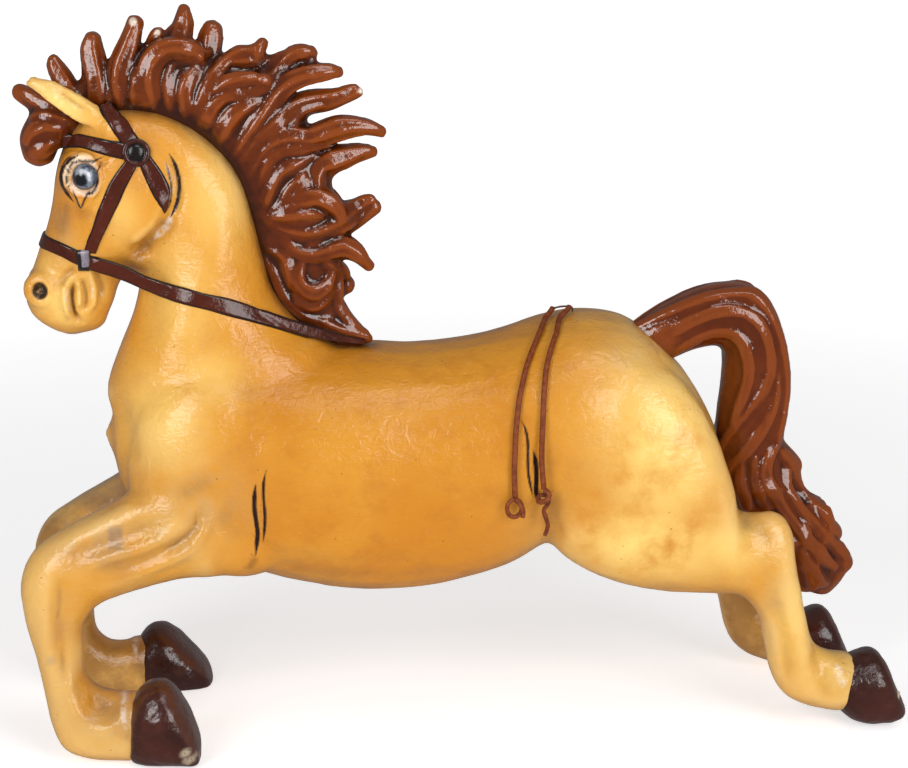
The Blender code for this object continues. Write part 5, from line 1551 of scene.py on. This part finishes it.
def add_room():
    """A white floor that glows more away from the horse, three soft boxes and the world."""
    data = bpy.data.meshes.new("floor")
    corners = ((-1, -1), (1, -1), (1, 1), (-1, 1))
    data.from_pydata([(x * FLOOR_HALF, y * FLOOR_HALF, -0.0003) for x, y in corners], [], [(0, 1, 2, 3)])
    floor = placed("floor", data)
    paint = Paint("floor_white", coat=0.0, roughness=0.3, level=0.3)
    away = paint.add("ShaderNodeVectorMath", operation="LENGTH")
    paint.join(away.inputs[0], paint.place)
    glow = paint.math("MULTIPLY_ADD", paint.band(away.outputs["Value"], 0.7, 4.0), 0.38, 0.59)
    white = paint.mix(paint.noise(0.7, 1.0), (0.78, 0.77, 0.78), (0.80, 0.79, 0.80))
    paint.join(paint.shader.inputs["Base Color"], white)
    paint.join(paint.shader.inputs["Emission Color"], (1.0, 1.0, 1.0, 1.0))
    paint.join(paint.shader.inputs["Emission Strength"], glow)
    data.materials.append(paint.material)
    floor.visible_glossy = False
    add_world()
    bpy.context.scene.view_settings.view_transform = "Standard"
    add_light("softbox_left", -40, 24, 3.2, (1.2, 1.7), 42)
    add_light("softbox_right", 32, 20, 3.2, (1.5, 2.0), 48)
    add_light("overhead", 20, 62, 3.0, (1.5, 0.9), 13)


def add_world():
    """A dim room for reflections, seen as a white backdrop."""
    world = bpy.data.worlds.new("studio")
    world.use_nodes = True
    nodes, links = world.node_tree.nodes, world.node_tree.links
    seen = nodes.new("ShaderNodeLightPath")
    strength = nodes.new("ShaderNodeMapRange")
    strength.inputs["To Min"].default_value = 0.17
    strength.inputs["To Max"].default_value = 1.03
    links.new(seen.outputs["Is Camera Ray"], strength.inputs["Value"])
    background = nodes["Background"]
    background.inputs["Color"].default_value = (1.0, 1.0, 1.0, 1.0)
    links.new(strength.outputs[0], background.inputs["Strength"])
    bpy.context.scene.world = world


def main():
    add_camera()
    make_thongs(brown_leather())
    add_room()
    ochre, hair, horn, strapped = ochre_lacquer(), mane_lacquer(), hoof_lacquer(), strap_paint()
    body = make_body()
    tree = tree_of(body)
    mane = make_hair("mane", MANE_ROOT, LOCKS, MANE_LOCKS + FORELOCK_LOCKS, MANE_CELL, body=tree)
    tail = make_hair(
        "tail", TAIL, TAIL_BASE_LOCKS, TAIL_LOCKS, TAIL_CELL, deep=(0.4, 0.62), wide=1.2, shrink=0.0, root=0.8,
        lighter=0.3,
    )
    paint_body(body, tree_of(mane), tree_of(tail), ochre)
    piece("mane", mane, hair)
    piece("tail", tail, hair)
    far_fore = tilted(moved(FORE_HOOF, FAR_FORE, whole=True), (-37.2, 3.0), 18)
    far_hind = moved(HIND_HOOF, FAR_HIND, whole=True)
    make_hoof("near_fore_hoof", FORE_HOOF, -1, ((-37.4, 9.9), (-33.0, 1.4)), FORE_CHIPS, horn)
    make_hoof("far_fore_hoof", far_fore, 1, ((-38.9, 7.9), (-32.0, 1.0)), [], horn)
    make_hoof("near_hind_hoof", HIND_HOOF, -1, ((50.7, 9.9), (54.6, 1.6)), HIND_CHIPS, horn)
    make_hoof("far_hind_hoof", far_hind, 1, ((49.6, 8.4), (53.5, 0.1)), [], horn)
    for side in (-1, 1):
        for name, edges in STRAPS.items():
            strap(name + "_" + word(side), edges, side, tree, strapped)
        strap("rein_" + word(side), REIN_EDGES, side, tree, strapped, rise=0.0026)
        make_concho(side, tree, strapped)
    strap("noseband", NOSEBAND, -1, tree, strapped, rise=0.0024, whole=True)
    eye, buckle = eye_paint(), buckle_paint()
    for side in (-1, 1):
        make_eye(side, tree, eye)
        strap("buckle_" + word(side), BUCKLE, side, tree, buckle, rise=0.0042, bars=5)
    iron = rusty_iron()
    staple = next(item for item in bpy.data.objects if item.name.startswith("back_staple") and item.type == "MESH")
    for place in staple.material_slots:
        place.material = iron


main()
